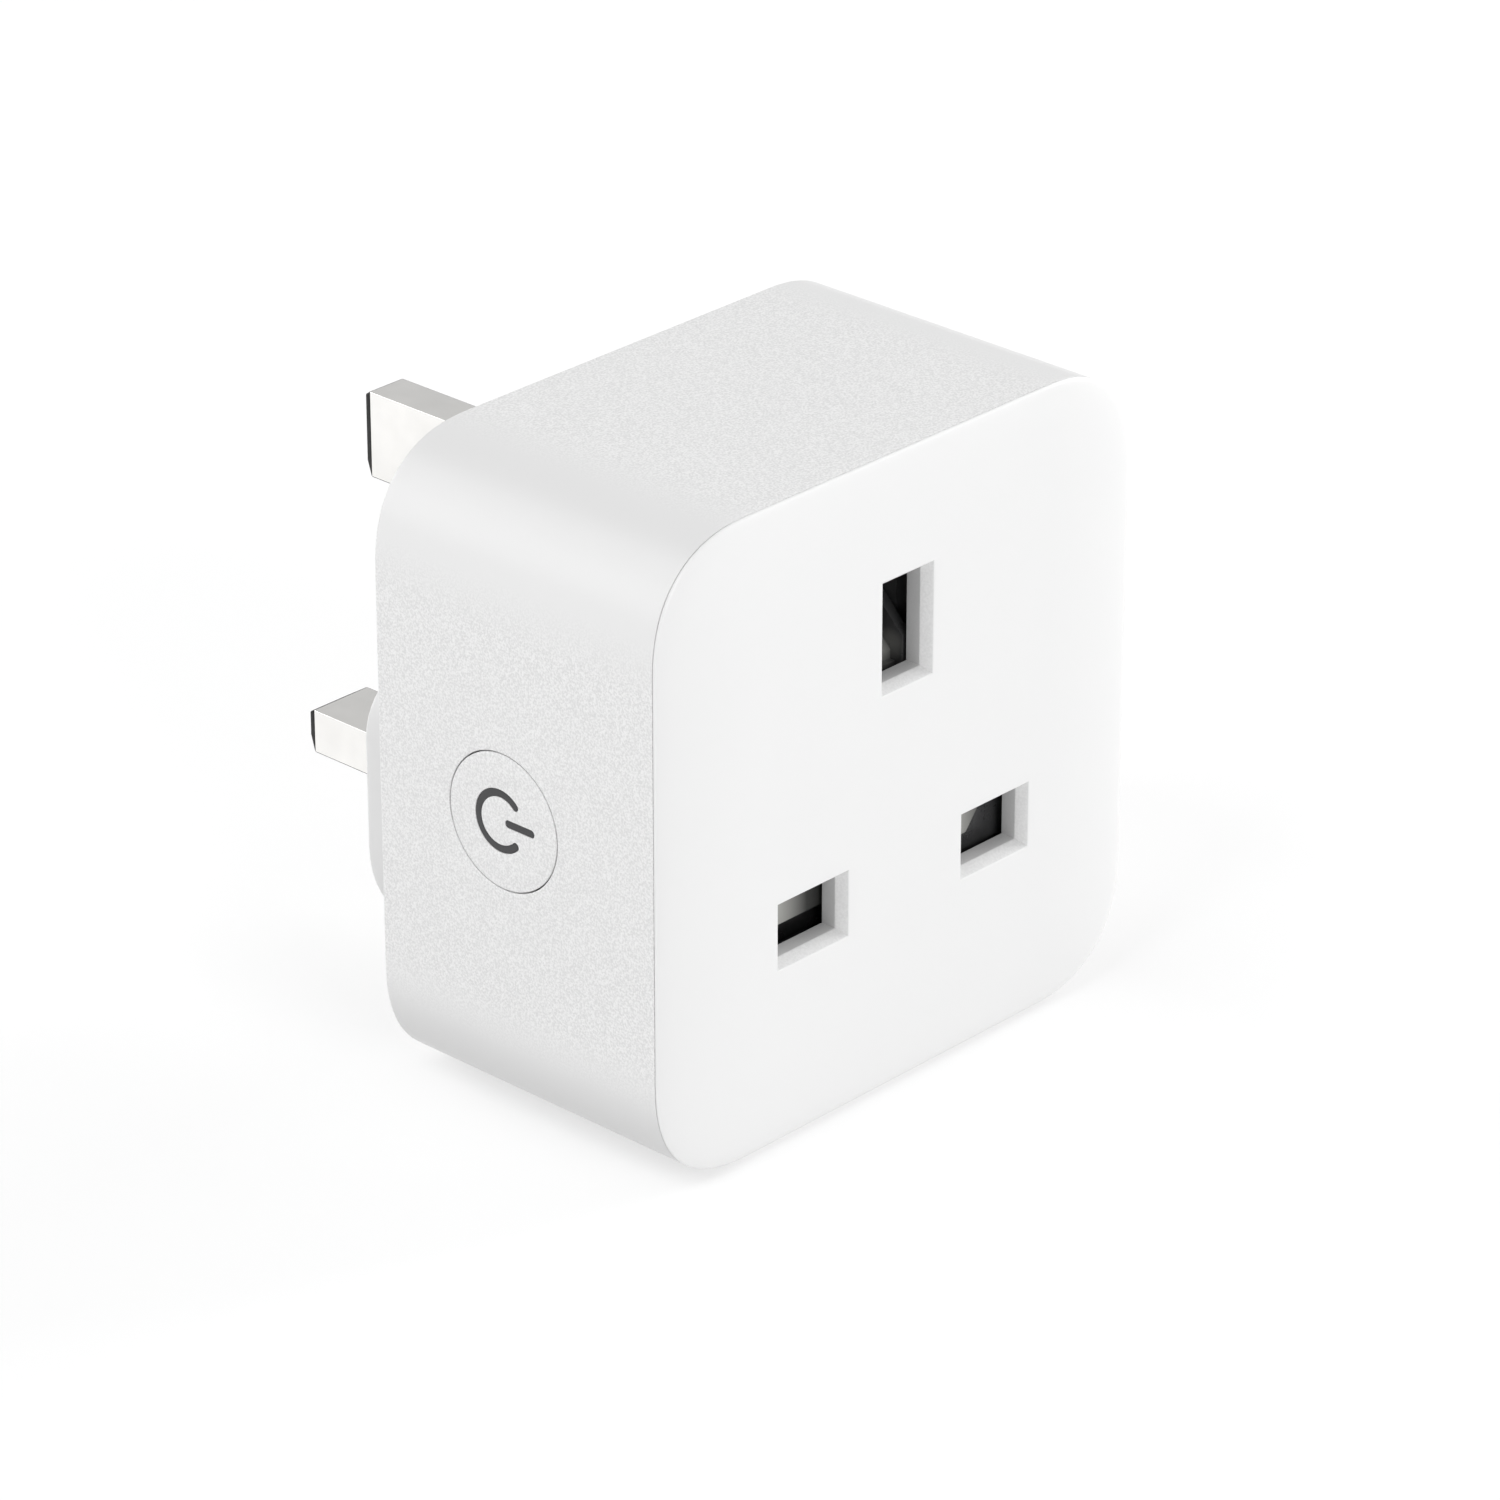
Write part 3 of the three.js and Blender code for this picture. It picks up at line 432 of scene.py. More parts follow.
class Finish:
    """A procedural material, built from an object-space pattern towards its Principled shader."""

    def __init__(self, name, roughness, metallic=0.0):
        self.material = bpy.data.materials.new(name)
        self.material.use_nodes = True
        self.tree = self.material.node_tree
        self.shader = self.tree.nodes["Principled BSDF"]
        self.shader.inputs["Roughness"].default_value = roughness
        self.shader.inputs["Metallic"].default_value = metallic
        self.place = self.node("ShaderNodeTexCoord").outputs["Object"]

    def node(self, kind, **values):
        """A node whose inputs are set or linked by name, spaces written as underscores."""
        made = self.tree.nodes.new(kind)
        for name, value in values.items():
            self.join(made.inputs[name.replace("_", " ")], value)
        return made

    def join(self, socket, value):
        """Sets a socket to a value, or links an output to it."""
        if isinstance(value, bpy.types.NodeSocket):
            self.tree.links.new(value, socket)
        else:
            socket.default_value = value

    def stretched(self, scale):
        """Object coordinates scaled along each axis."""
        return self.node("ShaderNodeMapping", Vector=self.place, Scale=scale).outputs["Vector"]

    def noise(self, size, detail=2.0, place=None):
        """Smooth noise with features of about size, in millimetres; its value is about 0.5."""
        place = place or self.place
        made = self.node("ShaderNodeTexNoise", Vector=place, Scale=1 / (size * MM), Detail=detail)
        return made.outputs["Fac"]

    def spread(self, value, low, high, between=(0.3, 0.7)):
        """A value within between, mapped to low up to high."""
        made = self.node("ShaderNodeMapRange", Value=value, To_Min=low, To_Max=high)
        made.inputs["From Min"].default_value, made.inputs["From Max"].default_value = between
        return made.outputs["Result"]

    def mixed(self, share, first, second):
        """First colour where share is 0, second where it is 1."""
        made = self.tree.nodes.new("ShaderNodeMix")
        made.data_type = "RGBA"
        made.clamp_factor = False
        self.join(made.inputs["Factor"], share)
        for socket, value in zip([s for s in made.inputs if s.type == "RGBA"], (first, second)):
            self.join(socket, value)
        return next(s for s in made.outputs if s.type == "RGBA")

    def worked(self, operation, *values):
        """The result of a Math node on values or outputs."""
        made = self.tree.nodes.new("ShaderNodeMath")
        made.operation = operation
        for socket, value in zip(made.inputs, values):
            self.join(socket, value)
        return made.outputs[0]

    def coloured(self, share, first, second):
        """Base colour: first where share is 0, second where it is 1."""
        self.join(self.shader.inputs["Base Color"], self.mixed(share, first, second))

    def mottled(self, rgb, share, size):
        """Base colour varied by share either way in soft patches of a size."""
        patches = self.spread(self.noise(size), 0, 1)
        self.coloured(patches, shade(rgb, 1 - share), shade(rgb, 1 + share))

    def uneven(self, low, high, size, place=None):
        """Roughness that wanders between low and high in patches of a size."""
        wander = self.spread(self.noise(size, place=place), low, high)
        self.join(self.shader.inputs["Roughness"], wander)

    def raised(self, height, depth):
        """Bump from a height value; depth is in millimetres."""
        bump = self.node("ShaderNodeBump", Height=height, Distance=depth * MM)
        self.join(self.shader.inputs["Normal"], bump.outputs["Normal"])


def plastic(name, rgb, roughness, grain, depth, patch=6.0, share=0.012):
    """Moulded plastic: grain of a size and depth in millimetres, and faint patches of colour and
    gloss."""
    made = Finish(name, roughness)
    made.mottled(rgb, share, patch)
    made.uneven(roughness - 0.05, roughness + 0.05, patch / 2)
    made.raised(made.noise(grain, 3.0), depth)
    return made.material


def speckled(name, rgb, roughness, grain, share, depth, smooth=None, corner=None):
    """Spark-eroded plastic: fine speckles of a size whose colour varies by share and which stand up by
    depth. Where corner is given, they fade out over the rounded corners, whose roughness is smooth:
    a point is in a corner when the lesser of |x| and |z| is over corner, in millimetres, and it isn't
    on the flat back, which keeps its speckles everywhere. The lower corners are darker by twice the
    share, as painted shade."""
    made = Finish(name, roughness)
    speck = made.spread(made.noise(grain, 2.0), 0, 1, (0.36, 0.64))
    if corner is not None:
        parts = made.node("ShaderNodeSeparateXYZ", Vector=made.place).outputs
        least = made.worked("MINIMUM", *(made.worked("ABSOLUTE", parts[axis]) for axis in "XZ"))
        rough = made.spread(least, 1, 0, ((corner - 1.5) * MM, (corner + 3.5) * MM))
        back = made.spread(parts["Y"], 0, 1, ((BACK - 0.3) * MM, (BACK - 0.05) * MM))
        rough = made.worked("MAXIMUM", rough, back)
        speck = made.worked("MULTIPLY_ADD", made.worked("SUBTRACT", speck, 0.5), rough, 0.5)
        made.join(made.shader.inputs["Roughness"], made.spread(rough, smooth, roughness, (0, 1)))
        # Painted shade: the lower corners are darkened by up to twice the share, standing in for the
        # shade near the floor.
        below = made.spread(parts["Z"], 1, 0, (-26 * MM, -18 * MM))
        painted_corner_shade = made.worked("MULTIPLY", below, made.worked("SUBTRACT", 1, rough))
        speck = made.worked("SUBTRACT", speck, painted_corner_shade)
    made.coloured(speck, shade(rgb, 1 - share), shade(rgb, 1 + share))
    made.raised(speck, depth)
    return made.material


def metal(name, rgb, roughness, along, depth=0.0015):
    """Metal with fine drawing lines; along holds how much the lines are stretched on each axis."""
    made = Finish(name, roughness, 1.0)
    lines = made.stretched([1 / a for a in along])
    made.mottled(rgb, 0.03, 3.0)
    made.uneven(roughness * 0.75, roughness * 1.25, 0.25, lines)
    made.raised(made.noise(0.08, 2.0, lines), depth)
    return made.material


def laminate(name, rgb):
    """Circuit board: lacquer over raised tracks, a lighter green where there is copper below."""
    made = Finish(name, 0.35)
    tracks = made.node("ShaderNodeTexVoronoi", Vector=made.place, Scale=1 / (2.4 * MM))
    tracks.distance = "MANHATTAN"
    step = made.worked("PINGPONG", tracks.outputs["Distance"], 0.11)
    track = made.spread(step, 0, 1, (0.04, 0.06))
    light = [*(min(1, c * 1.9 + 0.01) for c in rgb), 1]
    made.coloured(track, shade(rgb), light)
    made.raised(track, 0.03)
    made.shader.inputs["Coat Weight"].default_value = 0.4
    return made.material


def wound(name, rgb, pitch):
    """Enamelled winding: turns of wire round the Y axis of a pitch in millimetres."""
    made = Finish(name, 0.3)
    turns = made.tree.nodes.new("ShaderNodeTexWave")
    turns.bands_direction = "Y"
    made.join(turns.inputs["Vector"], made.place)
    turns.inputs["Scale"].default_value = 1 / (pitch * MM) / 3.2
    made.coloured(turns.outputs["Fac"], shade(rgb, 0.35), shade(rgb))
    made.raised(turns.outputs["Fac"], 0.05)
    return made.material


def facing(name, rgb, shade_spans):
    """Pale facing behind an aperture, which dulls from its full colour to almost black over each span
    of x in shade_spans, in millimetres: painted shade, darker towards the right of each aperture."""
    made = Finish(name, 0.45)
    x = made.node("ShaderNodeSeparateXYZ", Vector=made.place).outputs["X"]
    # Painted shade: each facing fades to 0.06 of its colour towards the aperture's right wall.
    unshaded_shares = [made.spread(x, 1, 0, (start * MM, end * MM)) for start, end in shade_spans]
    behind = made.worked("LESS_THAN", x, 0)
    apart = made.worked("SUBTRACT", unshaded_shares[0], unshaded_shares[1])
    share = made.worked("MULTIPLY_ADD", apart, behind, unshaded_shares[1])
    made.coloured(share, shade(rgb, 0.06), shade(rgb))
    made.raised(made.noise(0.2), 0.004)
    return made.material


GLOW_MIDDLE = (1.0, -34.7, 9.8)  # middle of the painted highlight on the shutter's ramp, where the earth pin pushes


def shutter_finish(rgb):
    """Dark moulded plastic with painted shade that darkens it towards the neutral side, and a painted
    highlight, a pale patch where the earth pin pushes on the ramp: its share falls evenly with the
    distance from the patch's middle."""
    made = Finish("shutter_plastic", 0.3)
    x = made.node("ShaderNodeSeparateXYZ", Vector=made.place).outputs["X"]
    # Painted highlight: a pale patch on the ramp stands in for the light caught there.
    glow_distance = made.tree.nodes.new("ShaderNodeVectorMath")
    glow_distance.operation = "DISTANCE"
    made.join(glow_distance.inputs[0], made.place)
    glow_distance.inputs[1].default_value = [v * MM for v in GLOW_MIDDLE]
    share = made.spread(glow_distance.outputs["Value"], 1, 0, (0.2 * MM, 2.0 * MM))
    # Painted shade: the neutral side darkens to 0.12 of the colour.
    side = made.spread(x, 0, 1, (-7 * MM, -4 * MM))
    plain = made.mixed(side, shade(rgb, 0.12), shade(rgb))
    made.coloured(share, plain, [0.3, 0.3, 0.28, 1])
    made.uneven(0.25, 0.35, 1.5)
    made.raised(made.noise(0.2), 0.003)
    return made.material


# ---- Front cover ----


def mouths(socket):
    """The three apertures as (centre x, centre z, width, height) in millimetres."""
    line = [v / MM for v in socket.line_mouth]
    earth = [v / MM for v in socket.earth_mouth]
    return [(LIVE_X, LINE_Z, *line), (-LIVE_X, LINE_Z, *line), (0.0, EARTH_Z, *earth)]


def corner_arc(reach, power):
    """A quarter superellipse about the corner's centre: u = reach cos(t)^(2/power) and
    v = reach sin(t)^(2/power)."""
    t = np.linspace(0, QUARTER, CORNER_STEPS + 1)
    u = np.clip(np.cos(t), 0, 1) ** (2 / power)
    v = np.sin(t) ** (2 / power)
    u[-1] = v[0] = 0
    return np.multiply.outer(reach, u), np.multiply.outer(reach, v)


def housing_loop(housing, inset, xs, zs):
    """The body's rounded square drawn in by inset: superellipse corners, and straight sides through
    the ascending marks xs and zs, anticlockwise from the right side's upper end."""
    corner = housing.corner / MM
    side = HALF - inset
    u, v = (HALF - corner + part for part in corner_arc(corner - inset, housing.power))
    along = [xs[-2:0:-1], zs[-2:0:-1], xs[1:-1], zs[1:-1]]
    corners = [(u, v), (-v, u), (-u, -v), (v, -u)]
    sides = [(along[0], side), (-side, along[1]), (along[2], -side), (side, along[3])]
    runs = [run for both in zip(corners, sides) for run in both]
    return np.concatenate([np.stack(np.broadcast_arrays(u, v), axis=-1) for u, v in runs])


def cover_skin(housing, socket):
    """Front cover. The face is y = rim - crown sqrt(1 - (q / corner)²), where q is how far a point
    lies beyond the corners' centres as a superellipse norm. Each aperture is a chamfer that narrows
    to a straight throat, carried round the aperture's rectangle."""
    corner = housing.corner / MM
    crown = housing.crown / MM
    edge = socket.edge / MM
    centre = HALF - corner
    holes = mouths(socket)
    grown = [(x, z, w / 2 + edge, h / 2 + edge) for x, z, w, h in holes]
    x_stops = [x + sign * w for x, _, w, _ in grown for sign in (-1, 1)]
    z_stops = [z + sign * h for _, z, _, h in grown for sign in (-1, 1)]
    xs = spaced(-centre, centre, x_stops, 1.0)
    zs = spaced(-centre, centre, z_stops, 1.0)
    falls = corner * np.cos(np.linspace(QUARTER, 0, 26))
    falls[0] = 0
    reach = np.unique(np.concatenate([falls, [z - centre for z in z_stops if z > centre]]))
    tall = np.concatenate([-(centre + reach[:0:-1]), zs, centre + reach[1:]])

    def crowned(x, z):
        """Points on the face at x and z, by the formula above."""
        q = np.stack([np.clip(np.abs(side) - centre, 0, None) for side in (x, z)])
        norm = (q**housing.power).sum(axis=0) ** (1 / housing.power)
        drop = np.sqrt(np.clip(1 - (norm / corner) ** 2, 0, 1))
        return np.stack([x, FRONT + crown * (1 - drop), z], axis=-1)

    skin = Skin()
    x, z = np.meshgrid(xs, tall, indexing="ij")
    middles = [(part[1:] + part[:-1]) / 2 for part in (xs, tall)]
    mid_x, mid_z = np.meshgrid(*middles, indexing="ij")
    keep = np.ones(mid_x.shape, bool)
    for hole_x, hole_z, w, h in grown:
        keep &= (np.abs(mid_x - hole_x) > w) | (np.abs(mid_z - hole_z) > h)
    skin.sheet(crowned(x, z), keep)
    for sign in (-1, 1):
        skin.sheet(crowned(*np.meshgrid(sign * (centre + reach), zs, indexing="ij")))
        for other in (-1, 1):
            u, v = corner_arc(reach, housing.power)
            skin.sheet(crowned(sign * (centre + u), other * (centre + v)))

    chamfer = [(-3 * edge, 0), (0, 0), (socket.chamfer_inset / MM, socket.chamfer_depth / MM)]
    profile, straight = softened([*chamfer, (chamfer[-1][0], socket.depth / MM)], edge)
    throats = []
    bands = len(profile) - 2
    zone = np.where(np.arange(bands) < SOFT_STEPS, 0, np.where(np.arange(bands) < bands - 2, 1, 2))
    for hole_x, hole_z, w, h in grown:
        loop = rectangle_loop(
            xs[np.abs(xs - hole_x) < w + 1e-6], tall[np.abs(tall - hole_z) < h + 1e-6]
        )
        rim = crowned(*loop.T)[:, 1]
        share = 1 - (profile[1:, :1] + edge) / np.array([w, h])
        rings = (loop - [hole_x, hole_z]) * share[:, None, :] + [hole_x, hole_z]
        on_top = loop[:, 1] > hole_z + h - 1e-6
        # The chamfer along each aperture's top keeps the cover's finish; the other chamfers and the
        # throats take the darker finishes, painted shade.
        over = (zone[:, None] == 1) & on_top & np.roll(on_top, -1)
        depths = rim + profile[1:, 1:]
        depths[-1] = FRONT + socket.depth / MM
        skin.tube(on_y(rings, depths), straight[1:], finish=np.where(over, 0, zone[:, None]))
        throats.append(rings[-1])

    seat = RIM - housing.seam / MM
    outer = housing_loop(housing, 0, xs, zs)
    spigot = housing_loop(housing, housing.spigot / MM, xs, zs)
    back = FRONT + socket.depth / MM
    skin.carry([(outer, FRONT + crown), (outer, seat), (spigot, seat), (spigot, back)], on_y)
    skin.fill([spigot, *throats], on_y, back)
    add_tabs(skin, housing, back)
    return skin


def add_tabs(skin, housing, back):
    """Four snap tabs behind the cover, at the middle of each side: an arm with a hook at its end."""
    reach = HALF - housing.wall / MM
    hook = COVER_END - 1.1
    arm = np.array(
        [
            [reach - 1.5, back - 0.5],
            [reach - 0.5, back - 0.5],
            [reach - 0.5, hook],
            [reach + 0.4, hook + 0.3],
            [reach + 0.4, COVER_END - 0.4],
            [reach - 0.5, COVER_END],
            [reach - 1.5, COVER_END],
        ]
    )
    for sign in (-1, 1):
        turned = arm * [sign, 1]
        skin.prism(turned, on_z, (-4, 4))
        skin.prism(turned[:, ::-1], on_x, (-4, 4))


# ---- Main shell ----

BUTTON_SQUARE = 9.0  # half of the square patch round the button hole
RIB_SPAN = np.array([-33.5, -10.44])  # front and back of the ribs that hold the boards


def shell_skin(housing, button):
    """Main shell: the body's outline carried from its front edge to its softened back edge and back
    inside, flat back faces round the boss, and a round hole in the left wall blended into a square."""
    wall = housing.wall / MM
    front_edge = housing.front_edge / MM
    back_edge = housing.back_edge / MM
    corner = housing.corner / MM
    marks = np.linspace(-BUTTON_SQUARE, BUTTON_SQUARE, 25)
    straight = HALF - corner
    xs = spaced(-straight, straight, [], 3.0)
    zs = spaced(-straight, straight, BUTTON_Z + marks, 3.0)
    inner_back = BACK - wall
    stations = spaced(RIM + 0.4, inner_back - 0.4, BUTTON_Y + marks, 3.0)

    def carried(profile):
        """Rings of the outline, each an inset and a depth, without the square round the button."""
        rings = np.stack([on_y(housing_loop(housing, inset, xs, zs), y) for inset, y in profile])
        middle = (rings[1:] + rings[:-1]) / 2
        middle = (middle + np.roll(middle, -1, axis=1)) / 2
        in_square = np.abs(middle[..., 1] - BUTTON_Y) < BUTTON_SQUARE
        in_square &= np.abs(middle[..., 2] - BUTTON_Z) < BUTTON_SQUARE
        skin.tube(rings, keep=~(in_square & (middle[..., 0] < -straight)))

    skin = Skin()
    lip = first_edge(front_edge, RIM)
    heel = [(0, BACK - 2 * back_edge), *last_edge(back_edge, BACK)]
    carried([(wall, RIM), *lip, *((0, y) for y in stations), *heel])
    carried([(wall, inner_back), *((wall, y) for y in stations[::-1]), (wall, RIM)])
    hole = boss_loop(FIT)
    skin.fill([housing_loop(housing, back_edge, xs, zs), hole], on_y, BACK)
    skin.fill([housing_loop(housing, wall, xs, zs), hole], on_y, inner_back)
    skin.carry([(hole, BACK), (hole, inner_back)], on_y)

    square = rectangle_loop(BUTTON_Y + marks, BUTTON_Z + marks)
    away = square - [BUTTON_Y, BUTTON_Z]
    ring = away / np.linalg.norm(away, axis=1, keepdims=True)
    radius = (button.radius + button.gap) / MM
    edge = button.edge / MM
    for x, wide in ((SIDE, radius + edge), (SIDE + wall, radius)):
        share = np.array([0, 0.06, 0.5, 1])[:, None, None]
        loops = (ring * wide) * (1 - share) + away * share + [BUTTON_Y, BUTTON_Z]
        skin.tube(on_x(loops, x), True)
    profile = [(radius + grow, x) for grow, x in first_edge(edge, SIDE)]
    sizes, depths = np.array([*profile, (radius, SIDE + wall)]).T[:, :, None]
    skin.tube(on_x(ring * sizes[..., None] + [BUTTON_Y, BUTTON_Z], depths))
    for z in (16.9, -14.0):
        across = np.array([SIDE + wall - 0.5, SIDE + wall + 6])
        skin.prism(rectangle_loop(across, RIB_SPAN), on_z, (z, z + 1))
    return skin


# ---- Plug base ----


def boss_loop(grow):
    """Outline of the pin boss, made bigger by grow: a broad lower block with a neck round the earth
    pin, as arcs joined by straight lines."""
    half, neck = 23.9 + grow, 12 + grow
    bottom, shoulder, top = -20.7 - grow, 4.6 + grow, 22.6 + grow
    low, high, hollow, crown = 9.7 + grow, 5.6 + grow, 4 - grow, 7 + grow
    right = [
        (half - low, bottom + low, low, -QUARTER, 0),
        (half - high, shoulder - high, high, 0, QUARTER),
        (neck + hollow, shoulder + hollow, hollow, -QUARTER, -math.pi),
        (neck - crown, top - crown, crown, 0, QUARTER),
    ]
    left = [(-u, v, r, math.pi - end, math.pi - start) for u, v, r, start, end in right[::-1]]
    return arc_loop([*right, *left])


POST, POST_BORE = 2.5, 1.3  # radii of the base's screw posts


def base_skin(housing, pins):
    """Plug base: the boss outline carried to a softened rear edge, a flange inside the shell, a hollow
    with three towers, and the pins' seats through them."""
    wall = housing.wall / MM
    back = BACK - wall - 0.1
    front = back - 1.4
    hollow_end = -wall
    edge = 0.45
    line = np.array(pins.line_pin) / MM
    earth = np.array(pins.earth_pin) / MM
    core = np.array(pins.core) / MM
    soft = np.linspace(0, QUARTER, SOFT_STEPS + 3)
    marks = np.array([-1.0, 1.0]) * (HALF - housing.corner / MM)
    flange = housing_loop(housing, housing.spigot / MM, marks, marks)
    skin = Skin()
    skin.carry([(flange, front), (flange, back)], on_y)
    skin.fill([flange, boss_loop(0)], on_y, back)
    profile = [(0, back), (0, -3 * edge)]
    profile += [(edge * (math.cos(a) - 1), edge * (math.sin(a) - 1)) for a in soft]
    skin.carry([(boss_loop(grow), y) for grow, y in profile], on_y)
    towers, seats, cores = [], [], []
    for x, z, size in ((LIVE_X, LINE_Z, line), (-LIVE_X, LINE_Z, line), (0.0, EARTH_Z, earth)):
        towers.append(box_loop(x, z, *(size + 4)))
        seats.append(box_loop(x, z, *(size + 2 * FIT)))
        cores.append(box_loop(x, z, *((core if size is line else size) + 2 * FIT)))
    step = box_mm("live_pin_sleeve")[0][1] - 0.3
    pocket = boss_loop(-wall)
    skin.fill([boss_loop(-edge), *seats], on_y, 0)
    skin.fill([flange, pocket], on_y, front)
    skin.fill([pocket, *towers], on_y, hollow_end)
    skin.carry([(pocket, front), (pocket, hollow_end)], on_y)
    for tower, seat, hole in zip(towers, seats, cores):
        skin.carry([(tower, hollow_end), (tower, front)], on_y, True)
        skin.fill([tower, hole], on_y, front)
        if len(np.unique(np.round(seat - hole, 6))) == 1:
            skin.carry([(hole, front), (hole, 0)], on_y, True)
            continue
        skin.carry([(hole, front), (hole, step)], on_y, True)
        skin.fill([seat, hole], on_y, step)
        skin.carry([(seat, step), (seat, 0)], on_y, True)
    angle = np.arange(24) * WHOLE / 24
    unit = np.stack([np.cos(angle), np.sin(angle)], axis=-1)
    spread = middle_mm("board_screw_1")[[0, 2]]
    for sign_x, sign_z in ((1, 1), (-1, 1), (-1, -1), (1, -1)):
        at = spread * [sign_x, sign_z]
        foot, bore = (POST, front + 0.5), (POST_BORE, front + 0.5)
        path = [foot, (POST, POST_FRONT), (POST_BORE, POST_FRONT), bore, foot]
        skin.carry([(unit * radius + at, y) for radius, y in path], on_y)
    return skin


# ---- Pins and sleeves ----


def pin_skin(node, shank, pins, x, z, collar, root):
    """A pin: rounded rectangles carried along Y from the solder tail through the collar and the root
    to the shank and its chamfered tip."""
    low, high = box_mm(node)
    edge = pins.edge / MM
    inset = pins.tip_inset / MM
    tip = high[1] - pins.tip_length / MM
    start = root[2]
    collar_y = -11.24
    tail = (3.0, 1.6)
    stations = [
        (low[1], *tail), (collar_y, *tail), (collar_y, *collar), (collar_y + 1, *collar),
        (collar_y + 1, *root[:2]), (start, *root[:2]), (start, *(shank - 0.2)), (start + 0.1, *shank),
    ]
    profile, _ = softened([(start + 0.1, 0), (tip, 0), (high[1], inset), (high[1], inset + 0.3)], edge)
    stations += [(y, *(shank - 2 * d)) for y, d in profile[1:-1]]
    skin = Skin()
    loops = [soft_loop(x, z, w, h, edge) for _, w, h in stations]
    ys = np.array([y for y, *_ in stations])
    side = SOFT_STEPS + 1
    cell = np.arange(4 * side)
    on_edge = (cell % side < SOFT_STEPS) & (cell // side != 1)
    # Painted reflection: the tip and the long edges take finish 1, near black.
    dark = (ys[:-1, None] > tip - edge) | ((ys[:-1, None] > start) & on_edge)
    skin.fill([loops[0]], on_y, low[1])
    skin.carry(zip(loops, ys), on_y, finish=dark.astype(int))
    skin.fill([loops[-1]], on_y, high[1])
    return skin


def sleeve_skin(node, pins, x):
    """An insulating sleeve: a rounded rectangle outside and a smaller one inside, joined at both
    softened ends."""
    low, high = box_mm(node)
    outside = np.array(pins.line_pin) / MM
    inside = np.array(pins.core) / MM + 0.1
    edge = pins.edge / MM
    ends = [*first_edge(edge, low[1]), *last_edge(edge, high[1])]
    rings = [on_y(soft_loop(x, LINE_Z, *(outside - 2 * d), edge), y) for d, y in ends]
    rings += [on_y(soft_loop(x, LINE_Z, *inside, edge), y) for y in (high[1], low[1])]
    skin = Skin()
    skin.tube(np.stack([*rings, rings[0]]))
    return skin


# ---- Button ----


def mark_loops(button, grow):
    """The power mark in y and z, made fatter by grow: an open ring with round ends, and a bar with
    round ends through its opening."""
    half = button.stroke / MM / 2 + grow
    ring = button.ring / MM
    middle = BUTTON_Y + button.offset / MM
    start = math.pi + button.opening
    end = 3 * math.pi - button.opening
    ends = [(middle + ring * math.cos(a), BUTTON_Z + ring * math.sin(a)) for a in (start, end)]
    arcs = [
        (middle, BUTTON_Z, ring + half, start, end),
        (*ends[1], half, end, end + math.pi),
        (middle, BUTTON_Z, ring - half, end, start),
        (*ends[0], half, start + math.pi, start + WHOLE),
    ]
    bar = [
        (BUTTON_Y + button.bar_end / MM, BUTTON_Z, half, -QUARTER, QUARTER),
        (BUTTON_Y + button.bar_start / MM, BUTTON_Z, half, QUARTER, 3 * QUARTER),
    ]
    return arc_loop(arcs, 40), arc_loop(bar, 16)


SLOT_GAP = 0.03  # open line round the light pipe in its slots
SLOT_EDGE = 0.05  # softening of the slots' rims
SKIRT_BORE = 4.8  # radius inside the cap's skirt


def cap_skin(button, wall):
    """Button cap: a disc with a softened rim and slots for the light pipe, then a skirt and a flange
    carried round the button's axis, and a stem."""
    radius = button.radius / MM
    edge = button.edge / MM
    inner = SIDE + button.thickness / MM
    flange = SIDE + wall
    skin = Skin()
    rim = [(radius - inset, x) for inset, x in first_edge(edge, SIDE)]
    wide = box_mm("button_cap")[1][2] - BUTTON_Z
    skirt = [(radius, SIDE + 0.6), (radius, flange + 0.2), (wide, flange + 0.2), (wide, flange + 0.9)]
    path = [*rim, *skirt, (SKIRT_BORE, flange + 0.9), (SKIRT_BORE, inner)]
    skin.carry([(circle(r), x) for r, x in path], on_x)
    marks = mark_loops(button, SLOT_GAP + SLOT_EDGE)
    skin.fill([circle(radius - edge), *marks], on_x, SIDE)
    walls = [(SLOT_GAP + grow, x) for grow, x in first_edge(SLOT_EDGE, SIDE)]
    walls.append((SLOT_GAP, inner))
    for index in (0, 1):
        skin.carry([(mark_loops(button, grow)[index], x) for grow, x in walls], on_x)
    skin.fill([circle(SKIRT_BORE), *mark_loops(button, SLOT_GAP)], on_x, inner)
    skin.prism(circle(1.5, 24), on_x, (inner - 0.05, flange - FIT))
    return skin


def pipe_skin(button):
    """Light pipe: the mark's two strokes with softened faces, standing on a ring behind the cap."""
    inner = SIDE + button.thickness / MM
    face = box_mm("icon_light_pipe")[0][0]
    skin = Skin()
    path = [(-inset, x) for inset, x in first_edge(0.04, face)]
    path.append((0, inner + 0.2))
    for index in (0, 1):
        loops = [mark_loops(button, grow)[index] for grow, _ in path]
        skin.fill([loops[0]], on_x, face)
        skin.carry([(loop, x) for loop, (_, x) in zip(loops, path)], on_x)
        skin.fill([loops[-1]], on_x, inner + 0.2)
    front, back = inner + 0.08, inner + 0.55
    ring = [(4.4, front), (4.4, back), (1.9, back), (1.9, front), (4.4, front)]
    skin.carry([(circle(r, 64), x) for r, x in ring], on_x)
    return skin


# ---- Shutter ----


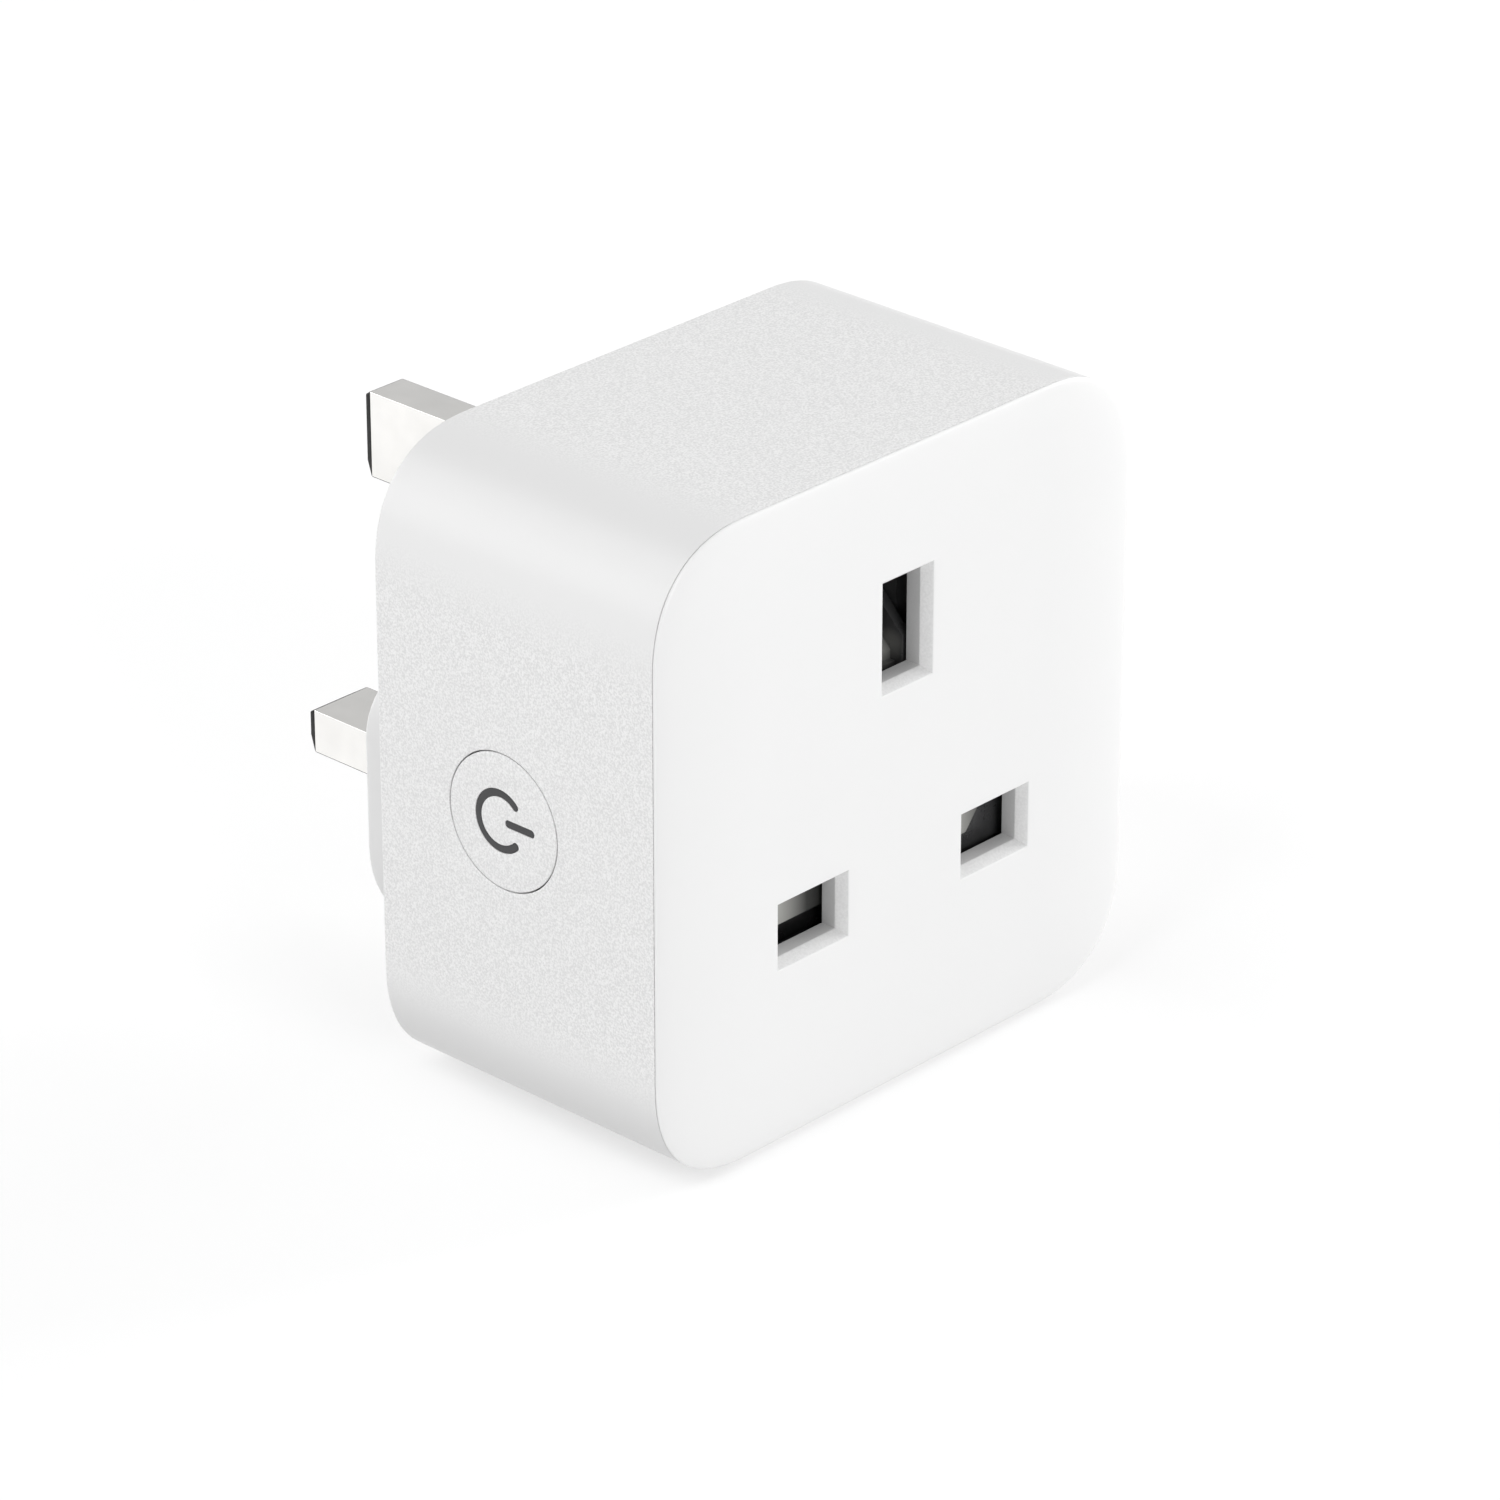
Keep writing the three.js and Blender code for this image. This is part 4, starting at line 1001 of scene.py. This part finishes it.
def shutter_skin():
    """Shutter: a dark bar with pale facings behind the live and neutral apertures, a stem, and a
    ramp between two cheeks under the earth aperture."""
    low, high = box_mm("shutter")
    front = low[1]
    sheet = 1.45
    recess = 0.75
    back = front + sheet
    top, deep = high[2], high[1]
    foot = 7.0
    skin = Skin()
    skin.prism(box_loop(0, LINE_Z, 32.4, 6), on_y, (front + recess, back))
    skin.prism(box_loop(0, (LINE_Z + 10.4) / 2, 6.7, 8.4 - LINE_Z - 2), on_y, (front + recess, back))
    bottom, upper = -10.0, LINE_Z + 3
    left = np.array([[-16.2, bottom], [-6.4, bottom], [-6.4, upper], [-16.2, upper]])
    cut = 1.5
    slant = [[12.1 - cut, bottom], [12.1, bottom + cut * 1.25]]
    right = np.array([[6.4, bottom], *slant, [12.1, upper], [6.4, upper]])
    for outline in (left, right):
        skin.prism(outline, on_y, (front + 0.02, front + recess), finish=1)
    nose = 10.8
    inner, outer = 2.35, 3.35
    slope = [[front + top - nose, top], [front, nose]]
    cheek = np.array([[front, foot], [deep, foot], [deep, top], *slope])
    ramp_front = back - 0.2
    slope = [ramp_front, top - (deep - ramp_front)]
    ramp = np.array([[ramp_front, foot], [deep, foot], [deep, top], slope])
    skin.prism(cheek, on_x, (inner, outer))
    skin.prism(cheek, on_x, (-outer, -inner))
    skin.prism(ramp, on_x, (-inner, inner))
    arm = np.array([[-1.8, back - 0.2], [1.8, back - 0.2], [1.8, -29.4], [-1.8, -29.4]])
    skin.prism(arm, on_z, (LINE_Z - 3, LINE_Z - 1.6))
    return skin


def spring_skin():
    """Return spring: a round wire carried along a helix about Z. At t from 0 to 1 the wire's centre is
    at radius cos(6 turns t), radius sin(6 turns t) and rises evenly, and its ends are closed."""
    low, high = box_mm("shutter_spring")
    wire, turns, around = 0.25, 6, 10
    radius = (high[0] - low[0]) / 2 - wire
    middle = (low + high) / 2
    t = np.linspace(0, 1, turns * 28 + 1)
    angle = turns * WHOLE * t
    out = np.stack([np.cos(angle), np.sin(angle), 0 * t], axis=-1)
    rise = (low[2] + wire) * (1 - t) + (high[2] - wire) * t
    centre = out * radius + np.stack([0 * t + middle[0], 0 * t + middle[1], rise], axis=-1)
    b = np.arange(around)[:, None] * WHOLE / around
    across = out[:, None] * np.cos(b) + [0, 0, 1] * np.sin(b)
    rings = np.array([0, *range(len(t)), len(t) - 1])
    size = np.full((len(rings), 1, 1), wire)
    size[[0, -1]] = 0
    skin = Skin()
    skin.tube(centre[rings, None] + across[rings] * size)
    return skin


# ---- Finishes of the pieces inside, by material slot ----


def inside_finishes(inside):
    """One finish for each of the record's material slots that only CAD nodes use."""
    rgb = inside.copper_colour
    return {
        "carrier_plastic": plastic("carrier_plastic", (0.06, 0.06, 0.061), 0.5, 0.2, 0.01),
        "contact_copper": metal("contact_copper", rgb, 0.28, (1, 8, 1)),
        "switch_plastic": plastic("switch_plastic", (0.02, 0.02, 0.02), 0.45, 0.15, 0.006),
        "led_lens": plastic("led_lens", (0.85, 0.88, 0.9), 0.12, 0.5, 0.002),
        "board_laminate": laminate("board_laminate", inside.board_colour),
        "can_steel": metal("can_steel", (0.68, 0.69, 0.7), 0.32, (1, 6, 1)),
        "relay_case": plastic("relay_case", inside.relay_colour, 0.3, 0.4, 0.004, share=0.05),
        "capacitor_sleeve": plastic("capacitor_sleeve", (0.02, 0.022, 0.03), 0.3, 0.6, 0.01, share=0.2),
        "film_case": plastic("film_case", inside.film_colour, 0.35, 0.3, 0.006, share=0.06),
        "ferrite": wound("ferrite", (0.55, 0.2, 0.06), 0.4),
        "varistor_coat": plastic("varistor_coat", (0.04, 0.18, 0.35), 0.4, 0.5, 0.03, share=0.08),
        "resistor_coat": plastic("resistor_coat", (0.22, 0.34, 0.21), 0.5, 0.3, 0.02, share=0.1),
        "chip_resin": plastic("chip_resin", (0.015, 0.015, 0.016), 0.55, 0.08, 0.006, share=0.1),
        "screw_steel": metal("screw_steel", (0.62, 0.62, 0.64), 0.3, (1, 1, 1)),
    }


# ---- Operators ----


class PieceOperator:
    """What the operators of this object's pieces share."""

    bl_options = {"REGISTER", "UNDO"}

    @staticmethod
    def settings(context):
        """The scene's settings of this object."""
        return context.scene.smart_plug


class SMARTPLUG_OT_front_cover(PieceOperator, bpy.types.Operator):
    """Makes the crowned front cover with its three apertures"""

    bl_idname = "smart_plug.front_cover"
    bl_label = "Front cover"

    def execute(self, context):
        settings = self.settings(context)
        housing = settings.housing
        socket = settings.socket
        finishes = [
            plastic("cover_plastic", housing.cover_colour, 0.36, 0.3, 0.0008, 9.0, 0.003),
            # Painted shade: the chamfer and throat finishes are darker than the cover plastic.
            speckled("aperture_chamfer", socket.chamfer_colour, 0.5, 0.22, 0.04, 0.006),
            speckled("aperture_throat", socket.throat_colour, 0.6, 0.22, 0.015, 0.004),
        ]
        skin = cover_skin(housing, socket)
        skin.piece("front_cover_face", "housing", "cover_plastic", finishes, ["front_cover"])
        return {"FINISHED"}


class SMARTPLUG_OT_main_shell(PieceOperator, bpy.types.Operator):
    """Makes the main shell with its button hole"""

    bl_idname = "smart_plug.main_shell"
    bl_label = "Main shell"

    def execute(self, context):
        settings = self.settings(context)
        skin = shell_skin(settings.housing, settings.button)
        finish = shell_finish(settings.housing)
        skin.piece("main_shell_body", "housing", "shell_plastic", [finish], ["main_shell"])
        return {"FINISHED"}


class SMARTPLUG_OT_plug_base(PieceOperator, bpy.types.Operator):
    """Makes the plug base with its pin boss"""

    bl_idname = "smart_plug.plug_base"
    bl_label = "Plug base"

    def execute(self, context):
        settings = self.settings(context)
        housing = settings.housing
        finish = plastic("base_plastic", housing.base_colour, 0.42, 0.2, 0.003, 7.0, 0.006)
        skin = base_skin(housing, settings.pins)
        skin.piece("plug_base_boss", "housing", "base_plastic", [finish], ["plug_base"])
        return {"FINISHED"}


class SMARTPLUG_OT_pins(PieceOperator, bpy.types.Operator):
    """Makes the three plated pins and the two insulating sleeves"""

    bl_idname = "smart_plug.pins"
    bl_label = "Pins and sleeves"

    def execute(self, context):
        pins = self.settings(context).pins
        plate = metal("plated_brass", pins.plate_colour, 0.14, (1, 10, 1), 0.0004)
        # Painted reflection: this near-black finish on the tips and long edges stands in for the dark
        # surroundings they reflect.
        dark_reflection = plastic("plated_brass_dark_reflection", pins.dark_reflection_colour, 0.6, 0.3, 0.001, 1.0, 0.2)
        dark_reflection.node_tree.nodes["Principled BSDF"].inputs["Specular IOR Level"].default_value = 0.05
        sleeve = plastic("sleeve_plastic", pins.sleeve_colour, 0.45, 0.2, 0.006)
        line = np.array(pins.line_pin) / MM
        earth = np.array(pins.earth_pin) / MM
        core = (*(np.array(pins.core) / MM), box_mm("live_pin_sleeve")[1][1] + 0.1)
        for name, x in (("live", LIVE_X), ("neutral", -LIVE_X)):
            node = name + "_pin"
            skin = pin_skin(node, line, pins, x, LINE_Z, (8.4, 5.6), core)
            skin.piece(node + "_blade", "housing", "plated_brass", [plate, dark_reflection], [node])
            tube = sleeve_skin(node + "_sleeve", pins, x)
            tube.piece(node + "_insulation", "housing", "sleeve_plastic", [sleeve], [node + "_sleeve"])
        root = (*(earth - 0.3), -8.0)
        skin = pin_skin("earth_pin", earth, pins, 0.0, EARTH_Z, (6.0, 9.6), root)
        skin.piece("earth_pin_blade", "housing", "plated_brass", [plate, dark_reflection], ["earth_pin"])
        return {"FINISHED"}


class SMARTPLUG_OT_button(PieceOperator, bpy.types.Operator):
    """Makes the button cap and the light pipe that shows the power mark"""

    bl_idname = "smart_plug.button"
    bl_label = "Button"

    def execute(self, context):
        settings = self.settings(context)
        button = settings.button
        cap = cap_skin(button, settings.housing.wall / MM)
        finish = shell_finish(settings.housing)
        cap.piece("button_cap_disc", "button", "shell_plastic", [finish], ["button_cap"])
        finish = plastic("icon_pipe", button.mark_colour, 0.35, 0.3, 0.003, 2.0, 0.06)
        pipe_skin(button).piece("power_mark", "button", "icon_pipe", [finish], ["icon_light_pipe"])
        return {"FINISHED"}


class SMARTPLUG_OT_shutter(PieceOperator, bpy.types.Operator):
    """Makes the shutter behind the apertures and its return spring"""

    bl_idname = "smart_plug.shutter"
    bl_label = "Shutter"

    def execute(self, context):
        socket = self.settings(context).socket
        dark = shutter_finish(socket.shutter_colour)
        pale = facing("shutter_facing", socket.flag_colour, [(-12.6, -8.9), (9.3, 12.9)])
        skin = shutter_skin()
        skin.piece("shutter_slider", "shutter_slide", "shutter_plastic", [dark, pale], ["shutter"])
        wire = metal("spring_wire", (0.55, 0.55, 0.57), 0.25, (1, 1, 6))
        skin = spring_skin()
        coil = skin.piece("return_spring", "housing", "spring_steel", [wire], ["shutter_spring"])
        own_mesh(coil)
        return {"FINISHED"}


class SMARTPLUG_OT_inside(PieceOperator, bpy.types.Operator):
    """Gives every piece inside its own finish"""

    bl_idname = "smart_plug.inside"
    bl_label = "Pieces inside"

    def execute(self, context):
        finishes = inside_finishes(self.settings(context).inside)
        slots = {row["node"]: row["material_slot"] for row in frame["record"]["subparts"]}
        for name, node in frame["nodes"].items():
            if slots[name] not in finishes:
                continue
            if not node.material_slots:
                node.data.materials.append(None)
            for slot in node.material_slots:
                slot.material = finishes[slots[name]]
        return {"FINISHED"}


def shell_finish(housing):
    """The shell's and the button's grained finish with painted shade on its lower corners, made once."""
    made = bpy.data.materials.get("shell_plastic_grain_and_shade")
    if made is None:
        grain, depth = housing.grain / MM, housing.grain_depth / MM
        made = speckled("shell_plastic_grain_and_shade", housing.shell_colour, 0.55, grain, 0.1, depth, 0.3, 17.7)
    return made


# ---- Stage ----

# Softboxes: name, azimuth and elevation in degrees as seen from the plug, width and height in metres
# and power in watts. Azimuth 0 stands in front of the plug and grows towards its right side.
SOFTBOXES = [
    ("front_light", -15, 20, 0.45, 0.45, 3.2),
    ("front_right_light", 45, 20, 0.45, 0.45, 0.9),
    ("right_light", 75, 20, 0.45, 0.45, 5.0),
    ("back_right_light", 133, 30, 1.0, 1.0, 1.16),
    ("back_light", -165, 20, 0.45, 0.45, 2.5),
    ("back_left_light", -135, 20, 0.45, 0.45, 1.0),
    ("high_left_light", -90, 50, 0.45, 0.45, 3.0),
    ("high_back_light", -150, 50, 0.45, 0.45, 0.6),
    ("high_front_light", -30, 50, 0.45, 0.45, 0.5),
]
SOFTBOX_DISTANCE = 0.9


class SMARTPLUG_OT_stage(PieceOperator, bpy.types.Operator):
    """Makes the pale floor, the soft lights and the camera"""

    bl_idname = "smart_plug.stage"
    bl_label = "Stage"

    def execute(self, context):
        stage = self.settings(context).stage
        scene = context.scene
        self.floor(stage, scene)
        for name, azimuth, elevation, width, height, power in SOFTBOXES:
            data = bpy.data.lights.new(name, "AREA")
            data.shape = "RECTANGLE"
            data.size = width
            data.size_y = height
            data.energy = power
            a, e = math.radians(azimuth), math.radians(elevation)
            away = np.array([math.sin(a) * math.cos(e), -math.cos(a) * math.cos(e), math.sin(e)])
            light = bpy.data.objects.new(name, data)
            light.location = away * SOFTBOX_DISTANCE
            light.rotation_euler = Euler((QUARTER - e, 0, a))
            scene.collection.objects.link(light)
        world = bpy.data.worlds.new("even_surround")
        world.use_nodes = True
        back = world.node_tree.nodes["Background"]
        back.inputs["Color"].default_value = (1, 1, 1, 1)
        back.inputs["Strength"].default_value = stage.surround
        scene.world = world
        scene.view_settings.view_transform = "Standard"
        data = bpy.data.cameras.new("camera")
        data.lens = stage.lens
        data.sensor_width = 36
        data.clip_start = 0.01
        camera = bpy.data.objects.new("camera", data)
        camera.location = stage.eye
        camera.rotation_euler = Euler((QUARTER - stage.dip, 0, stage.turn))
        scene.collection.objects.link(camera)
        scene.camera = camera
        return {"FINISHED"}

    @staticmethod
    def floor(stage, scene):
        """A plain pale square just under the plug."""
        reach = 6.0
        level = box_mm("main_shell")[0][2] * MM - 0.0005
        loop = box_loop(0, 0, 2 * reach, 2 * reach)
        mesh = bpy.data.meshes.new("floor")
        mesh.from_pydata(on_z(loop, level), [], [[0, 1, 2, 3]])
        finish = Finish("floor_paper", 0.9)
        finish.mottled(stage.floor_colour, 0.004, 60.0)
        finish.shader.inputs["Emission Color"].default_value = (1, 1, 1, 1)
        finish.shader.inputs["Emission Strength"].default_value = stage.floor_glow
        mesh.materials.append(finish.material)
        made = bpy.data.objects.new("floor", mesh)
        scene.collection.objects.link(made)


class SmartPlugSettings(bpy.types.PropertyGroup):
    housing: PointerProperty(type=HousingSettings, name="Housing", description="Cover, shell and base")
    socket: PointerProperty(type=SocketSettings, name="Socket", description="Apertures and shutter")
    pins: PointerProperty(type=PinSettings, name="Pins", description="Pins and sleeves")
    button: PointerProperty(type=ButtonSettings, name="Button", description="Button and power mark")
    inside: PointerProperty(type=InsideSettings, name="Inside", description="Boards and their pieces")
    stage: PointerProperty(type=StageSettings, name="Stage", description="Floor, light and camera")


class SMARTPLUG_PT_pieces(bpy.types.Panel):
    """Lists the operators that build the smart plug"""

    bl_label = "Smart plug"
    bl_idname = "SMARTPLUG_PT_pieces"
    bl_space_type = "VIEW_3D"
    bl_region_type = "UI"
    bl_category = "Smart plug"

    def draw(self, context):
        for operator in OPERATORS:
            self.layout.operator(operator.bl_idname)


GROUPS = [
    HousingSettings,
    SocketSettings,
    PinSettings,
    ButtonSettings,
    InsideSettings,
    StageSettings,
    SmartPlugSettings,
]
OPERATORS = [
    SMARTPLUG_OT_stage,
    SMARTPLUG_OT_front_cover,
    SMARTPLUG_OT_main_shell,
    SMARTPLUG_OT_plug_base,
    SMARTPLUG_OT_pins,
    SMARTPLUG_OT_button,
    SMARTPLUG_OT_shutter,
    SMARTPLUG_OT_inside,
]


def register():
    """Registers the classes and hangs the settings on the scene."""
    for kind in [*GROUPS, *OPERATORS, SMARTPLUG_PT_pieces]:
        bpy.utils.register_class(kind)
    bpy.types.Scene.smart_plug = PointerProperty(type=SmartPlugSettings)


def unregister():
    """Undoes register."""
    del bpy.types.Scene.smart_plug
    for kind in reversed([*GROUPS, *OPERATORS, SMARTPLUG_PT_pieces]):
        bpy.utils.unregister_class(kind)


def main():
    register()
    for operator in OPERATORS:
        family, name = operator.bl_idname.split(".")
        getattr(getattr(bpy.ops, family), name)()


if __name__ == "__main__":
    main()
